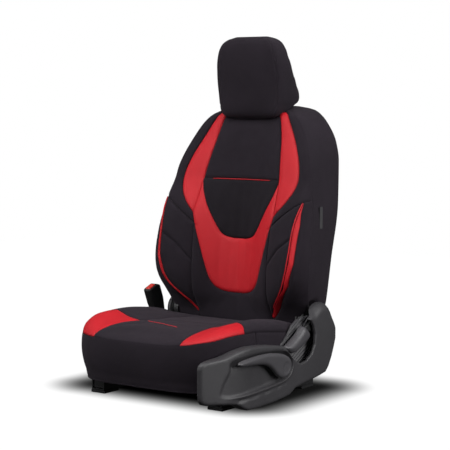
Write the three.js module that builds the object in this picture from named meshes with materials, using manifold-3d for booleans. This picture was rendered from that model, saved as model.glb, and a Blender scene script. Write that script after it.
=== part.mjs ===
// Car front seat wearing a fitted three-piece cover set: backrest, cushion and head restraint covers.
// Millimetres. +Z up, the seat faces -Y, +X is the door side with the side shield.
// The model is laid out about the seat's centre plane and its floor, then moved by ORIGIN_SHIFT so
// that the origin is the centre of the bottom of the whole object's bounding box.
import * as THREE from 'three';
import Module from 'manifold-3d';

const wasm = await Module();
wasm.setup();

// ---------- driving dimensions ----------
const ORIGIN_SHIFT = [-1, -28, 0];
const GAP = 0.35;                       // clearance between pieces that touch

const COVER_THICK = 4;                  // laminated cover fabric with its foam backing
const BACK_BOTTOM = 155;
const BACK_TOP = 785;
const CUSHION_FRONT = -275;
const CUSHION_REAR = 169;
const CUSHION_HALF_WIDTH = 250;
const CUSHION_CORNER = 200;             // depth over which the front corners are rounded
const CUSHION_EXPONENT = 3.6;
const SKIRT_SEAM = -75;                 // where the side bands join the front band
const FOAM_BASE = 132;
const HEM_HEIGHT = 50;
const COVER_RIM = 9;                    // how far the top cover turns down below its seam

const RAIL_X = 200;
const FRAME_X = 228;                    // mid-plane of the cushion side members
const LINK_X = 220;
const FRONT_PIVOT = [-132, 74];         // y, z of the lower pivot of the front lift links
const REAR_PIVOT = [60, 74];
const LINK_LENGTH = 90;
const LINK_REST_DEG = 15;
const RECLINE_AXIS = [215, 190];        // y, z
const LIFT_LEVER_AXIS = [-2, 92];
const BUCKLE_ANCHOR = [205, 105];
const BUCKLE_X = -286;
const BUCKLE_LEAN_DEG = 22;
const BAR_PIVOT = [-60, 66];
const SHIELD_X = 290;
const SHIELD_WALL = 3;
const POST_X = 58;
const POST_Y = 320;
const POST_RADIUS = 5;

// ---------- materials ----------
const make = (color, roughness, metalness = 0) => new THREE.MeshStandardMaterial({ color, roughness, metalness });
const blackFabric = make(0x262328, 0.9);
const redLeather = make(0xc8262c, 0.5);
const foamYellow = make(0xd8cfa8, 0.95);
const greyPlastic = make(0x3c3c3f, 0.55);
const blackPlastic = make(0x18181a, 0.5);
const redPlastic = make(0xd02a22, 0.35);
const blackSteel = make(0x202124, 0.5, 0.6);
const zincSteel = make(0x8d9094, 0.4, 0.9);
const chromedSteel = make(0xc9cbd0, 0.15, 1);
const greyLabel = make(0x9a9a9c, 0.7);

// ---------- the group and its helpers ----------
const seat = new THREE.Group();
seat.position.set(...ORIGIN_SHIFT);

function addPiece(name, geometry, material) {
  const mesh = new THREE.Mesh(geometry, material);
  mesh.name = name;
  seat.add(mesh);
}

// Smooth monotone curve through a table of [input, value] pairs.
function curve(table) {
  const n = table.length;
  const slope = table.slice(1).map((p, i) => (p[1] - table[i][1]) / (p[0] - table[i][0]));
  const tangent = table.map((_, i) => {
    if (i === 0) return slope[0];
    if (i === n - 1) return slope[n - 2];
    return slope[i - 1] * slope[i] <= 0 ? 0 : 2 / (1 / slope[i - 1] + 1 / slope[i]);
  });
  return (input) => {
    const x = Math.min(Math.max(input, table[0][0]), table[n - 1][0]);
    let i = 0;
    while (i < n - 2 && x > table[i + 1][0]) i += 1;
    const h = table[i + 1][0] - table[i][0];
    const t = (x - table[i][0]) / h;
    const rise = table[i + 1][1] - table[i][1];
    const ease = t * t * (3 - 2 * t);
    return table[i][1] + rise * ease + h * t * (1 - t) * ((1 - t) * tangent[i] - t * tangent[i + 1]);
  };
}

// A closed body through a list of rings with the same number of points, capped at both ends.
function loft(rings) {
  const count = rings[0].length;
  const positions = [];
  const index = [];
  rings.forEach((ring) => ring.forEach((p) => positions.push(...p)));
  for (let r = 0; r < rings.length - 1; r += 1) {
    for (let i = 0; i < count; i += 1) {
      const j = (i + 1) % count;
      const a = r * count + i;
      const b = r * count + j;
      index.push(a, b, b + count, a, b + count, a + count);
    }
  }
  [[0, false], [rings.length - 1, true]].forEach(([r, last]) => {
    const centre = [0, 1, 2].map((k) => rings[r].reduce((sum, p) => sum + p[k], 0) / count);
    const hub = positions.length / 3;
    positions.push(...centre);
    for (let i = 0; i < count; i += 1) {
      const a = r * count + i;
      const b = r * count + ((i + 1) % count);
      index.push(...(last ? [a, b, hub] : [b, a, hub]));
    }
  });
  let volume = 0;
  const vertex = (i) => new THREE.Vector3().fromArray(positions, i * 3);
  for (let i = 0; i < index.length; i += 3) {
    volume += vertex(index[i]).dot(vertex(index[i + 1]).cross(vertex(index[i + 2])));
  }
  if (volume < 0) index.reverse();
  const geometry = new THREE.BufferGeometry();
  geometry.setAttribute('position', new THREE.Float32BufferAttribute(positions, 3));
  geometry.setIndex(index);
  return geometry;
}

function weld(geometry) {
  const position = geometry.getAttribute('position');
  const seen = new Map();
  const vertices = [];
  const remap = [];
  for (let i = 0; i < position.count; i += 1) {
    const p = [position.getX(i), position.getY(i), position.getZ(i)];
    const key = p.map((v) => Math.round(v * 1e3)).join();
    if (!seen.has(key)) {
      seen.set(key, vertices.length / 3);
      vertices.push(...p);
    }
    remap.push(seen.get(key));
  }
  const source = geometry.index ? Array.from(geometry.index.array) : remap.map((_, i) => i);
  const triangles = [];
  for (let i = 0; i < source.length; i += 3) {
    const t = [remap[source[i]], remap[source[i + 1]], remap[source[i + 2]]];
    if (t[0] !== t[1] && t[1] !== t[2] && t[0] !== t[2]) triangles.push(...t);
  }
  return { vertices, triangles };
}

function toSolid(geometry) {
  const { vertices, triangles } = weld(geometry);
  return new wasm.Manifold(new wasm.Mesh({
    numProp: 3,
    vertProperties: new Float32Array(vertices),
    triVerts: new Uint32Array(triangles),
  }));
}

function toGeometry(solid) {
  const mesh = solid.getMesh();
  const geometry = new THREE.BufferGeometry();
  geometry.setAttribute('position', new THREE.BufferAttribute(new Float32Array(mesh.vertProperties), 3));
  geometry.setIndex(Array.from(mesh.triVerts));
  return geometry;
}

// The same body with every face listed from its last corner.
function turnFaces(geometry) {
  const corners = Array.from(geometry.index.array);
  const turned = new THREE.BufferGeometry();
  turned.setAttribute('position', geometry.getAttribute('position'));
  turned.setIndex(corners.map((_, i) => corners[i % 3 === 0 ? i + 2 : i - 1]));
  return turned;
}

const join = (first, ...others) => toGeometry(others.reduce((sum, g) => sum.add(toSolid(g)), toSolid(first)));
const cut = (first, ...others) => toGeometry(others.reduce((sum, g) => sum.subtract(toSolid(g)), toSolid(first)));
const common = (first, other) => toGeometry(toSolid(first).intersect(toSolid(other)));

// A box given by its two corners.
function box(x0, x1, y0, y1, z0, z1) {
  const geometry = new THREE.BoxGeometry(Math.abs(x1 - x0), y1 - y0, z1 - z0);
  return geometry.translate((x0 + x1) / 2, (y0 + y1) / 2, (z0 + z1) / 2);
}

// A cylinder along X between two X positions, about the point (y, z).
function rodX(radius, x0, x1, [y, z], facets = 12) {
  const geometry = new THREE.CylinderGeometry(radius, radius, Math.abs(x1 - x0), facets);
  return geometry.rotateZ(Math.PI / 2).translate((x0 + x1) / 2, y, z);
}

function rodZ(radius, x, y, z0, z1, facets = 12) {
  const geometry = new THREE.CylinderGeometry(radius, radius, z1 - z0, facets);
  return geometry.rotateX(Math.PI / 2).translate(x, y, (z0 + z1) / 2);
}

// A plate whose outline lies in the Y-Z plane, between two X positions.
function plateX(outline, x0, x1) {
  const points = (list) => list.map(([y, z]) => new THREE.Vector2(y, z));
  const shape = Array.isArray(outline) ? new THREE.Shape(points(outline)) : outline;
  const depth = Math.abs(x1 - x0);
  const geometry = new THREE.ExtrudeGeometry(shape, { depth, bevelEnabled: false, curveSegments: 6 });
  return geometry.rotateX(Math.PI / 2).rotateZ(Math.PI / 2).translate(Math.min(x0, x1), 0, 0);
}

// A prism whose outline lies in the X-Z plane, between two Y positions.
function prismY(outline, y0, y1) {
  const shape = new THREE.Shape(outline.map(([x, z]) => new THREE.Vector2(x, z)));
  const geometry = new THREE.ExtrudeGeometry(shape, { depth: y1 - y0, bevelEnabled: false });
  return geometry.rotateX(Math.PI / 2).translate(0, y1, 0);
}

// A round bar along a path of points.
function bar(points, radius, facets, steps) {
  const section = new THREE.Shape();
  for (let i = 0; i <= facets; i += 1) {
    const angle = (i / facets) * 2 * Math.PI;
    const p = [radius * Math.cos(angle), radius * Math.sin(angle)];
    if (i === 0) section.moveTo(...p);
    else section.lineTo(...p);
  }
  const path = new THREE.CurvePath();
  points.forEach((p) => path.add(p));
  return new THREE.ExtrudeGeometry(section, { steps, extrudePath: path, bevelEnabled: false });
}

const vec = (x, y, z) => new THREE.Vector3(x, y, z);
const mirrorX = (outline) => outline.map(([x, z]) => [-x, z]).reverse();
const sides = { left: -1, right: 1 };

// ---------- seat tracks ----------
function lowerRail(x) {
  const [outer, inner, slot, wall] = [22, 18, 9.2, 4];
  const [base, top] = [8, 40];
  const profile = [
    [-outer, base], [outer, base], [outer, top], [slot, top], [slot, top - wall], [inner, top - wall],
    [inner, base + wall], [-inner, base + wall], [-inner, top - wall], [-slot, top - wall], [-slot, top],
    [-outer, top],
  ];
  return prismY(profile.map(([px, z]) => [px + x, z]), -188, 250);
}

function railFoot(x, y) {
  return cut(box(x - 24, x + 24, y - 30, y + 30, 0, 8 - GAP), rodZ(5, x, y, -1, 9));
}

function bracketPlate(side) {
  const [y0, y1] = [FRONT_PIVOT[0] - 18, BAR_PIVOT[0] + 14];
  const front = box(side * 208, side * 212, y0, y1, 54, 88);
  const rear = box(side * 208, side * 212, REAR_PIVOT[0] - 20, REAR_PIVOT[0] + 20, 54, 88);
  return [front, rear];
}

function upperRail(side) {
  const [flange, web, head] = [16.5, 8, 14];
  const profile = [
    [-flange, 14], [flange, 14], [flange, 34], [web, 34], [web, 50], [head, 50], [head, 56], [-head, 56],
    [-head, 50], [-web, 50], [-web, 34], [-flange, 34],
  ];
  const rail = prismY(profile.map(([px, z]) => [px + side * RAIL_X, z]), -185, 235);
  const joined = join(rail, ...bracketPlate(side));
  const holes = [FRONT_PIVOT, REAR_PIVOT].map((p) => rodX(6 + GAP, side * 200, side * 216, p));
  return cut(joined, ...holes, rodX(5 + GAP, side * 200, side * 216, BAR_PIVOT));
}

function trackReleaseBar() {
  const [x, front, bend, z] = [186, -226, 70, 66];
  const path = [
    new THREE.LineCurve3(vec(-x, BAR_PIVOT[0], z), vec(-x, front + bend, z)),
    new THREE.QuadraticBezierCurve3(vec(-x, front + bend, z), vec(-x, front, z), vec(-x + bend, front, z)),
    new THREE.LineCurve3(vec(-x + bend, front, z), vec(x - bend, front, z)),
    new THREE.QuadraticBezierCurve3(vec(x - bend, front, z), vec(x, front, z), vec(x, front + bend, z)),
    new THREE.LineCurve3(vec(x, front + bend, z), vec(x, BAR_PIVOT[0], z)),
  ];
  const stubs = Object.values(sides).map((s) => rodX(5, s * (x - 4), s * 213, BAR_PIVOT, 10));
  const hubs = Object.values(sides).map((s) => rodX(9, s * (x - 6), s * (x + 6), BAR_PIVOT, 10));
  return join(bar(path, 6, 6, 26), ...stubs, ...hubs);
}

// ---------- height lift links ----------
function linkEnd([y, z]) {
  const angle = THREE.MathUtils.degToRad(LINK_REST_DEG);
  return [y + LINK_LENGTH * Math.cos(angle), z + LINK_LENGTH * Math.sin(angle)];
}

function liftLink(side, lower) {
  const upper = linkEnd(lower);
  const [x0, x1] = [side * (LINK_X - 2), side * (LINK_X + 2)];
  const middle = [(lower[0] + upper[0]) / 2, (lower[1] + upper[1]) / 2];
  const web = new THREE.BoxGeometry(4, LINK_LENGTH, 18);
  web.rotateX(THREE.MathUtils.degToRad(LINK_REST_DEG)).translate(side * LINK_X, ...middle);
  const eyes = [lower, upper].map((p) => rodX(13, x0, x1, p));
  const pins = [rodX(6, side * 205, side * LINK_X, lower), rodX(6, side * LINK_X, side * 233, upper)];
  return join(web, ...eyes, ...pins);
}

function torqueTube(lower) {
  const inner = LINK_X - 2 - GAP;
  return cut(rodX(9, -inner, inner, linkEnd(lower)), rodX(6.5, -inner - 1, inner + 1, linkEnd(lower)));
}

// ---------- cushion frame ----------
function cushionSideMember(side) {
  const shape = new THREE.Shape();
  shape.moveTo(-158, 84);
  shape.lineTo(120, 84);
  shape.lineTo(215, 92);
  shape.lineTo(246, 150);
  shape.lineTo(251, 190);
  shape.absarc(RECLINE_AXIS[0], RECLINE_AXIS[1], 36, 0, Math.PI, false);
  shape.lineTo(178, 150);
  shape.lineTo(173, 128);
  shape.lineTo(-158, 128);
  const plate = plateX(shape, side * (FRAME_X - 2), side * (FRAME_X + 2));
  const [x0, x1] = [side * (FRAME_X - 4), side * (FRAME_X + 4)];
  return cut(
    plate,
    rodX(6 + GAP, x0, x1, linkEnd(FRONT_PIVOT)),
    rodX(6 + GAP, x0, x1, linkEnd(REAR_PIVOT)),
    rodX(6 + GAP, x0, x1, RECLINE_AXIS),
  );
}

function seatPan() {
  const top = 131;
  const [half, front, back] = [205, -192, 120];
  const plate = box(-half, half, front, back, top - 5, top);
  const lip = box(-half, half, front, front + 5, top - 26, top - 4);
  const openings = [-110, 110].map((x) => rodZ(38, x, 20, top - 10, top + 5, 16));
  return cut(join(plate, lip), ...openings);
}

function rearCrossTube() {
  const end = FRAME_X - 2 - GAP;
  return cut(rodX(11, -end, end, [192, 116]), rodX(8.5, -end - 1, end + 1, [192, 116]));
}

function liftPump() {
  const body = rodX(24, FRAME_X + 2 + GAP, 245, LIFT_LEVER_AXIS, 24);
  return cut(body, rodX(7 + GAP, 236, 246, LIFT_LEVER_AXIS, 12));
}

// ---------- recliners ----------
function reclinerDisc(side) {
  const disc = rodX(33, side * 212.3, side * (FRAME_X - 2 - GAP), RECLINE_AXIS, 32);
  return cut(disc, rodX(6 + GAP, side * 210, side * 228, RECLINE_AXIS));
}

function reclinerSyncShaft() {
  return rodX(5.9, -232, 258.5, RECLINE_AXIS, 16);
}

// Pull-up strip lever: a hub behind the shield, an arm through the pocket and a strip on the face.
function reclineLever() {
  const hub = rodX(14, 259, 284, RECLINE_AXIS, 20);
  const arm = plateX([[216, 177], [214, 203], [150, 196], [120, 186], [122, 170], [160, 172]], 268, 276);
  const strip = plateX([[27, 140], [38, 122], [66, 122], [138, 166], [144, 180], [124, 198]], 270, 293);
  return join(hub, arm, strip);
}

function innerReclinerCover() {
  const [x0, x1] = [FRAME_X + 2 + GAP, FRAME_X + 16];
  const dome = new THREE.LatheGeometry([[0, x0], [41, x0], [41, x0 + 6], [36, x1], [0, x1]]
    .map(([r, h]) => new THREE.Vector2(r, h)), 28);
  dome.rotateZ(Math.PI / 2).translate(0, ...RECLINE_AXIS);
  return cut(dome, rodX(6 + GAP, -240, -220, RECLINE_AXIS));
}

// ---------- cushion padding and cover ----------
const seamHeight = curve([
  [-275, 174], [-240, 180], [-200, 188], [-150, 195], [-87, 198], [-50, 195], [0, 189], [60, 181], [120, 173],
  [172, 166],
]);
const midHeight = curve([
  [-275, 174], [-250, 187], [-200, 192], [-100, 194], [0, 190], [100, 185], [172, 178],
]);
const bolsterHeight = curve([
  [-275, 175], [-245, 192], [-200, 209], [-150, 219], [-60, 221], [40, 213], [120, 199], [172, 180],
]);

function cushionHalfWidth(y) {
  const depth = (CUSHION_FRONT + CUSHION_CORNER - y) / CUSHION_CORNER;
  if (depth <= 0) return CUSHION_HALF_WIDTH;
  return CUSHION_HALF_WIDTH * Math.max(0, 1 - depth ** CUSHION_EXPONENT) ** (1 / CUSHION_EXPONENT);
}

function cushionTop(x, y) {
  const [crest, roll] = [205, 42];
  const across = Math.min(Math.abs(x) / crest, 1) ** 3;
  const crown = midHeight(y) + (bolsterHeight(y) - midHeight(y)) * across;
  const inside = Math.max(0, Math.min(cushionHalfWidth(y) - Math.abs(x), y - CUSHION_FRONT));
  const round = inside < roll ? Math.sqrt(1 - (1 - inside / roll) ** 2) : 1;
  return seamHeight(y) + (crown - seamHeight(y)) * round;
}

// Plan outline of the cushion: round front corners, a straight back.
function cushionOutline(scale) {
  const points = [];
  const arc = 8;
  for (let i = 0; i <= arc; i += 1) {
    const angle = (i / arc) * (Math.PI / 2);
    const power = 2 / CUSHION_EXPONENT;
    points.push([
      CUSHION_HALF_WIDTH * Math.cos(angle) ** power,
      CUSHION_FRONT + CUSHION_CORNER - CUSHION_CORNER * Math.sin(angle) ** power,
    ]);
  }
  const side = [CUSHION_REAR, 130, 89, 30, -20, SKIRT_SEAM + 1].map((y) => [CUSHION_HALF_WIDTH, y]);
  const right = [[125, CUSHION_REAR], ...side, ...points];
  const left = right.slice(0, -1).reverse().map(([x, y]) => [-x, y]);
  const centreY = -50;
  return [...right, ...left, [0, CUSHION_REAR]].map(([x, y]) => [x * scale, centreY + (y - centreY) * scale]);
}

const CUSHION_SCALES = [1, 0.97, 0.92, 0.82, 0.6, 0.3];

// Rings of the top surface from the seam inwards, lowered by drop and drawn in by inset.
function cushionTopRings(inset, drop) {
  const shrink = 1 - inset / 222;
  return CUSHION_SCALES.map((scale) => cushionOutline(scale)
    .map(([x, y]) => [x * shrink, -50 + (y + 50) * shrink, cushionTop(x, y) - drop]));
}

// The padded body under the top surface, down to a base height that depends on the seam height.
function cushionBody(inset, baseAt) {
  const top = cushionTopRings(inset, inset);
  const base = top[0].map(([x, y, z]) => [x, y, baseAt(z)]);
  return loft([base, ...top]);
}

function cushionFoam() {
  return cushionBody(COVER_THICK + 0.8, () => FOAM_BASE);
}

function cushionCoverShell() {
  return cut(cushionBody(0, (z) => z - COVER_RIM), cushionBody(COVER_THICK, () => FOAM_BASE - 30));
}

// Red insert on the front corner of each bolster, drawn in plan.
const INSERT_PLAN = [
  [122, -98], [160, -101], [205, -90], [235, -108], [262, -140], [262, -230], [205, -300], [150, -300],
  [142, -240],
];

function cushionInsertTool(side, grow) {
  const plan = INSERT_PLAN.map(([x, y]) => [x * side, y]);
  const centre = [196 * side, -180];
  const shape = new THREE.Shape(plan.map(([x, y]) => {
    const reach = Math.hypot(x - centre[0], y - centre[1]);
    const factor = 1 + grow / reach;
    return new THREE.Vector2(centre[0] + (x - centre[0]) * factor, centre[1] + (y - centre[1]) * factor);
  }));
  return new THREE.ExtrudeGeometry(shape, { depth: 80, bevelEnabled: false }).translate(0, 0, 150);
}

// Apron sewn to the top cover's edge, in a front band and two side bands.
const SKIRT_END = { left: 90, right: 165 };

function skirtBand(belongs) {
  const [hemInset, bulge, wall] = [12, 3, 3];
  const outline = cushionOutline(1);
  const route = outline.slice(1, outline.length - 2).filter(belongs);
  const rings = route.map(([x, y]) => {
    const out = new THREE.Vector2(x, (y + 50) * 0.9).normalize();
    const seam = seamHeight(y) - COVER_RIM - GAP;
    const rows = [[seam, 0], [seam - 45, -bulge], [HEM_HEIGHT, hemInset]];
    const at = ([z, inset]) => [x - out.x * inset, y - out.y * inset, z];
    return [...rows.map(at), ...rows.reverse().map(([z, inset]) => at([z, inset + wall]))];
  });
  return loft(rings);
}

const skirtFront = () => cut(skirtBand(([, y]) => y <= SKIRT_SEAM), rodX(10, 226, 262, SHIELD_BOSSES[0]));

function skirtSide(name) {
  const side = sides[name];
  const band = skirtBand(([x, y]) => x * side > 0 && y >= SKIRT_SEAM + 1 && y < SKIRT_END[name]);
  if (side < 0) return band;
  return cut(band, rodX(26, 230, 262, LIFT_LEVER_AXIS, 16));
}

// ---------- side shield ----------
const SHIELD_BOSSES = [[-130, 106], [236, 150]];
const shieldTop = curve([
  [-312, 146], [-240, 152], [-195, 164], [-150, 169], [-84, 165], [-14, 155], [20, 146], [78, 178],
  [128, 207],
  [170, 236], [196, 246], [216, 245], [240, 230], [256, 205], [266, 170],
]);
const shieldBottom = curve([
  [-312, 40], [-290, 35], [-250, 31], [-205, 26], [-190, 20], [-158, 5], [-97, 4], [35, 14], [64, 29],
  [132, 38],
  [215, 50], [245, 90], [266, 140],
]);
const shieldFace = (y) => SHIELD_X - (y < -150 ? 42 * ((-150 - y) / 162) ** 1.6 : 0);
const shieldDepth = curve([[-312, 12], [-240, 30], [266, 30]]);
const SHIELD_STATIONS = [
  -312, -275, -240, -205, -185, -160, -97, -55, -14, 20, 64, 100, 132, 165, 196, 216, 240, 256, 266,
];
const POCKET = [
  [12, 270], [18, 138], [30, 114], [60, 103], [99, 90], [140, 100], [160, 130], [167, 168], [164, 198],
  [142, 232],
  [112, 270],
];

function sideShield() {
  const soft = 6;
  const w = SHIELD_WALL;
  const rings = SHIELD_STATIONS.map((y) => {
    const [x, top, low] = [shieldFace(y), shieldTop(y), shieldBottom(y)];
    const depth = shieldDepth(y);
    return [
      [x - depth, low], [x - soft, low], [x, low + soft], [x, top - soft], [x - soft, top], [x - depth, top],
      [x - depth, top - w], [x - soft, top - w], [x - w, top - soft - 1],
      [x - w, low + soft + 1], [x - soft, low + w],
      [x - depth, low + w],
    ].map(([px, z]) => [px, y, z]);
  });
  const bosses = SHIELD_BOSSES.map((p) => rodX(6, FRAME_X + 2 + GAP, SHIELD_X - 2, p, 12));
  const shell = cut(loft(rings), plateX(POCKET, 240, 300), rodX(9, 270, 300, LIFT_LEVER_AXIS));
  return join(shell, ...bosses);
}

// Ribbed dark panel behind the lever pocket.
function pocketLiner() {
  const outline = [
    [22, 128], [50, 96], [99, 82], [148, 94], [170, 130], [174, 160], [160, 196], [128, 190], [60, 150],
  ];
  const ribs = [0, 1, 2, 3, 4].map((i) => {
    const y = 62 + i * 18;
    return box(257, 262, y, y + 6, 100, 142 + i * 4);
  });
  return join(plateX(outline, 254, 258), ...ribs);
}

// Paddle that raises and lowers the seat when pumped.
function liftLever() {
  const boss = rodX(30, 291, 302, LIFT_LEVER_AXIS, 28);
  const paddle = plateX([
    [8, 118], [-28, 140], [-98, 143], [-205, 140], [-213, 134], [-205, 128], [-157, 123], [-89, 118],
    [-52, 102],
    [-28, 80], [-10, 72],
  ], 291, 301);
  return join(boss, paddle, rodX(7, 237, 295, LIFT_LEVER_AXIS, 12));
}

// ---------- buckle ----------
function leanBuckle(geometry) {
  return geometry.rotateX(THREE.MathUtils.degToRad(BUCKLE_LEAN_DEG)).translate(BUCKLE_X, 192, 165);
}

function buckleAnchorBolt() {
  const bolt = rodX(8, -FRAME_X - 2 - GAP, -244, BUCKLE_ANCHOR, 6);
  return join(bolt, rodX(5, -FRAME_X - 2 - GAP, -252, BUCKLE_ANCHOR, 12));
}

function buckleStalk() {
  const [y, z] = BUCKLE_ANCHOR;
  const path = [new THREE.CubicBezierCurve3(
    vec(-256, y, z),
    vec(-258, y, z + 30),
    vec(BUCKLE_X, 204, 135),
    vec(BUCKLE_X, 192.3, 164.3),
  )];
  const eye = cut(rodX(15, -253.5, -259, BUCKLE_ANCHOR), rodX(8.5, -250, -262, BUCKLE_ANCHOR));
  const rod = cut(bar(path, 5.5, 8, 12), rodX(8.5, -250, -268, BUCKLE_ANCHOR));
  return join(eye, rod);
}

function buckleHousing() {
  const shape = [[-24, 0], [20, 0], [27, 90], [14, 98], [-27, 98]];
  const body = plateX(shape, -14, 14);
  const well = box(-9.5, 9.5, -22, 10, 84, 104);
  const placed = [body, well].map(leanBuckle);
  return cut(...placed);
}

function buckleButton() {
  return leanBuckle(box(-9, 9, -21.5, 9.5, 90, 101));
}

// ---------- backrest shape ----------
const backFrontY = curve([
  [155, 190], [220, 192], [287, 195], [350, 200], [425, 208], [500, 214], [590, 224], [650, 238], [696, 252],
  [740, 268], [752, 290], [768, 318], [780, 337], [785, 345],
]);
const backBolster = curve([
  [155, 5], [190, 12], [220, 22], [252, 40], [286, 56], [318, 65], [360, 68], [396, 66], [438, 62], [481, 50],
  [525, 30], [590, 16], [696, 7], [785, 2],
]);
const backCrestX = curve([
  [155, 150], [220, 160], [252, 178], [286, 198], [318, 208], [360, 213], [525, 218], [590, 200], [696, 165],
  [740, 140], [772, 90], [785, 40],
]);
const backHalfWidth = curve([
  [155, 198], [190, 204], [220, 228], [260, 246], [300, 258], [340, 264], [380, 266], [425, 265], [480, 260],
  [515, 256], [565, 248], [625, 235], [670, 217], [715, 192], [745, 168], [768, 135], [780, 108], [785, 90],
]);
const backRearY = curve([
  [155, 318], [220, 332], [280, 340], [350, 346], [450, 352], [610, 358], [700, 361], [760, 364], [780, 363],
  [785, 361],
]);
const backRearHalfWidth = curve([
  [155, 190], [200, 212], [226, 218], [355, 223], [515, 234], [632, 231], [686, 218], [737, 185], [773, 146],
  [782, 112], [785, 92],
]);
const BACK_LEVELS = [155, 190, 225, 262, 305, 360, 430, 500, 575, 655, 725, 765, 779, 785];

function backFront(x, z) {
  const [crest, width] = [backCrestX(z), backHalfWidth(z)];
  const across = Math.min(Math.abs(x) / crest, 1);
  const y = backFrontY(z) - backBolster(z) * across * across * (3 - 2 * across);
  return Math.abs(x) > crest ? y + 18 * ((Math.abs(x) - crest) / (width - crest)) ** 2 : y;
}

// One horizontal section of the backrest, drawn in by inset on every side.
function backRing(z, inset) {
  const stretch = (BACK_TOP - BACK_BOTTOM - inset) / (BACK_TOP - BACK_BOTTOM);
  const height = BACK_BOTTOM + (z - BACK_BOTTOM) * stretch;
  const [width, rear, rearWidth] = [backHalfWidth(z), backRearY(z) - inset, backRearHalfWidth(z)];
  const shares = [0, 0.36, 0.62, 0.82, 0.94, 1];
  const shrink = (width - inset) / width;
  const front = shares.map((share) => [share * width * shrink, backFront(share * width, z) + inset]);
  const edge = front[front.length - 1];
  const corner = rearWidth - inset;
  const bulge = 4;
  const gusset = [0.35, 0.7].map((t) => [
    edge[0] + (corner - edge[0]) * t + bulge,
    edge[1] + (rear - 9 - edge[1]) * t,
  ]);
  const side = [
    ...gusset,
    [corner, rear - 9],
    [corner * 0.85, rear],
  ];
  const right = [...front, ...side];
  const left = right.slice(1).reverse().map(([x, y]) => [-x, y]);
  return [...right, [0, rear + 4], ...left].map(([x, y]) => [x, y, height]);
}

// Room around the recliners, and a bore for the shaft between them.
function reclinerRoom() {
  const rooms = Object.values(sides).map((s) => rodX(48, s * 201.3, s * 300, RECLINE_AXIS, 24));
  return [...rooms, rodX(9, -250, 250, RECLINE_AXIS, 12)];
}

// ---------- backrest frame ----------
function backPlateX(z) {
  const share = Math.min(Math.max((z - 255) / (650 - 255), 0), 1);
  return 208 - 62 * share;
}

function backSideOutline(grow) {
  const front = [[186, 168], [184, 205], [212, 252], [236, 330], [256, 450], [272, 560], [284, 652]];
  const rear = [[320, 652], [316, 560], [306, 450], [292, 330], [272, 252], [250, 212], [240, 172]];
  const widen = ([y, z], sign) => [y + sign * grow, z];
  const stretchEnd = (list) => list.map(([y, z]) => [y, z === 652 ? z + grow : z]);
  return [...stretchEnd(front.map((p) => widen(p, -1))), ...stretchEnd(rear.map((p) => widen(p, 1)))];
}

function backSidePlate(side, grow) {
  const half = 2 + grow;
  const rings = [];
  const outline = backSideOutline(grow);
  const rows = outline.length / 2;
  for (let i = 0; i < rows; i += 1) {
    const [front, rear] = [outline[i], outline[outline.length - 1 - i]];
    const x = backPlateX((front[1] + rear[1]) / 2) * side;
    rings.push([
      [x - half, front[0], front[1]], [x + half, front[0], front[1]], [x + half, rear[0], rear[1]],
      [x - half, rear[0], rear[1]],
    ]);
  }
  return loft(rings);
}

function backrestSideMember(side) {
  const disc = rodX(36, side * 206, side * 210, RECLINE_AXIS, 28);
  return cut(join(disc, backSidePlate(side, 0)), rodX(6 + GAP, side * 200, side * 215, RECLINE_AXIS));
}

const TOP_TUBE = [300, 640];
const LOW_MEMBER = [278, 300];

function backrestTopTube() {
  const reach = backPlateX(TOP_TUBE[1]) - 4;
  return rodX(10, -reach, reach, TOP_TUBE, 16);
}

function backrestLowerMember(grow) {
  const [y, z] = LOW_MEMBER;
  const reach = backPlateX(z + 25) - 2 - GAP + 4 * grow;
  return box(-reach, reach, y - 3 - grow, y + 3 + grow, z - 25 - grow, z + 25 + grow);
}

// Woven wire mat that carries the lower back.
function lumbarMat() {
  const wires = [-80, 80].map((x) => box(x - 4, x + 4, 276.5, 279.5, 325.4, 350));
  const plate = join(box(-120, 120, 276.5, 279.5, 345, 545), ...wires);
  const holes = [];
  for (let row = 0; row < 4; row += 1) {
    [-82, 0, 82].forEach((x) => {
      const z = 352 + row * 48;
      holes.push(box(x - 34, x + 34, 270, 290, z, z + 42));
    });
  }
  return cut(plate, ...holes);
}

const SLEEVE_TOP = 760;
function headrestSleeve(side) {
  const x = side * POST_X;
  const tube = rodZ(9.5, x, POST_Y, 652, SLEEVE_TOP, 16);
  const head = rodZ(17, x, POST_Y, SLEEVE_TOP - 1, SLEEVE_TOP + 5, 18);
  const bore = rodZ(POST_RADIUS + GAP, x, POST_Y, 640, SLEEVE_TOP + 10, 16);
  const body = cut(join(tube, head), bore);
  if (side < 0) return body;
  return cut(body, box(x + 9, x + 20, POST_Y - 5, POST_Y + 5, SLEEVE_TOP - 3, SLEEVE_TOP + 3.5));
}

function headrestReleaseButton() {
  const x = POST_X;
  return box(x + 12.5, x + 19, POST_Y - 4.5, POST_Y + 4.5, SLEEVE_TOP - 0.6, SLEEVE_TOP + 3);
}

// Everything buried in the backrest padding, grown by the room it needs.
function backrestCavities() {
  const tools = Object.values(sides).map((s) => backSidePlate(s, 1.5));
  tools.push(rodX(11.5, -145, 145, TOP_TUBE, 16));
  tools.push(backrestLowerMember(1.5));
  tools.push(box(-122, 122, 275, 281, 320, 547));
  Object.values(sides).forEach((s) => {
    tools.push(rodZ(11, s * POST_X, POST_Y, 560, 830, 16));
    tools.push(rodZ(21, s * POST_X, POST_Y, SLEEVE_TOP - 6, 830, 18));
  });
  return tools;
}

function backBody(inset, bottom) {
  const rings = BACK_LEVELS.map((z) => backRing(z, inset));
  rings[0] = rings[0].map(([x, y]) => [x, y, bottom]);
  return loft(rings);
}

const backrestFoam = () => turnFaces(cut(
  backBody(COVER_THICK + 0.8, BACK_BOTTOM + 1),
  ...reclinerRoom(),
  ...backrestCavities(),
));

const backrestShell = () => cut(backBody(0, BACK_BOTTOM), backBody(COVER_THICK, BACK_BOTTOM - 20));

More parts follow.
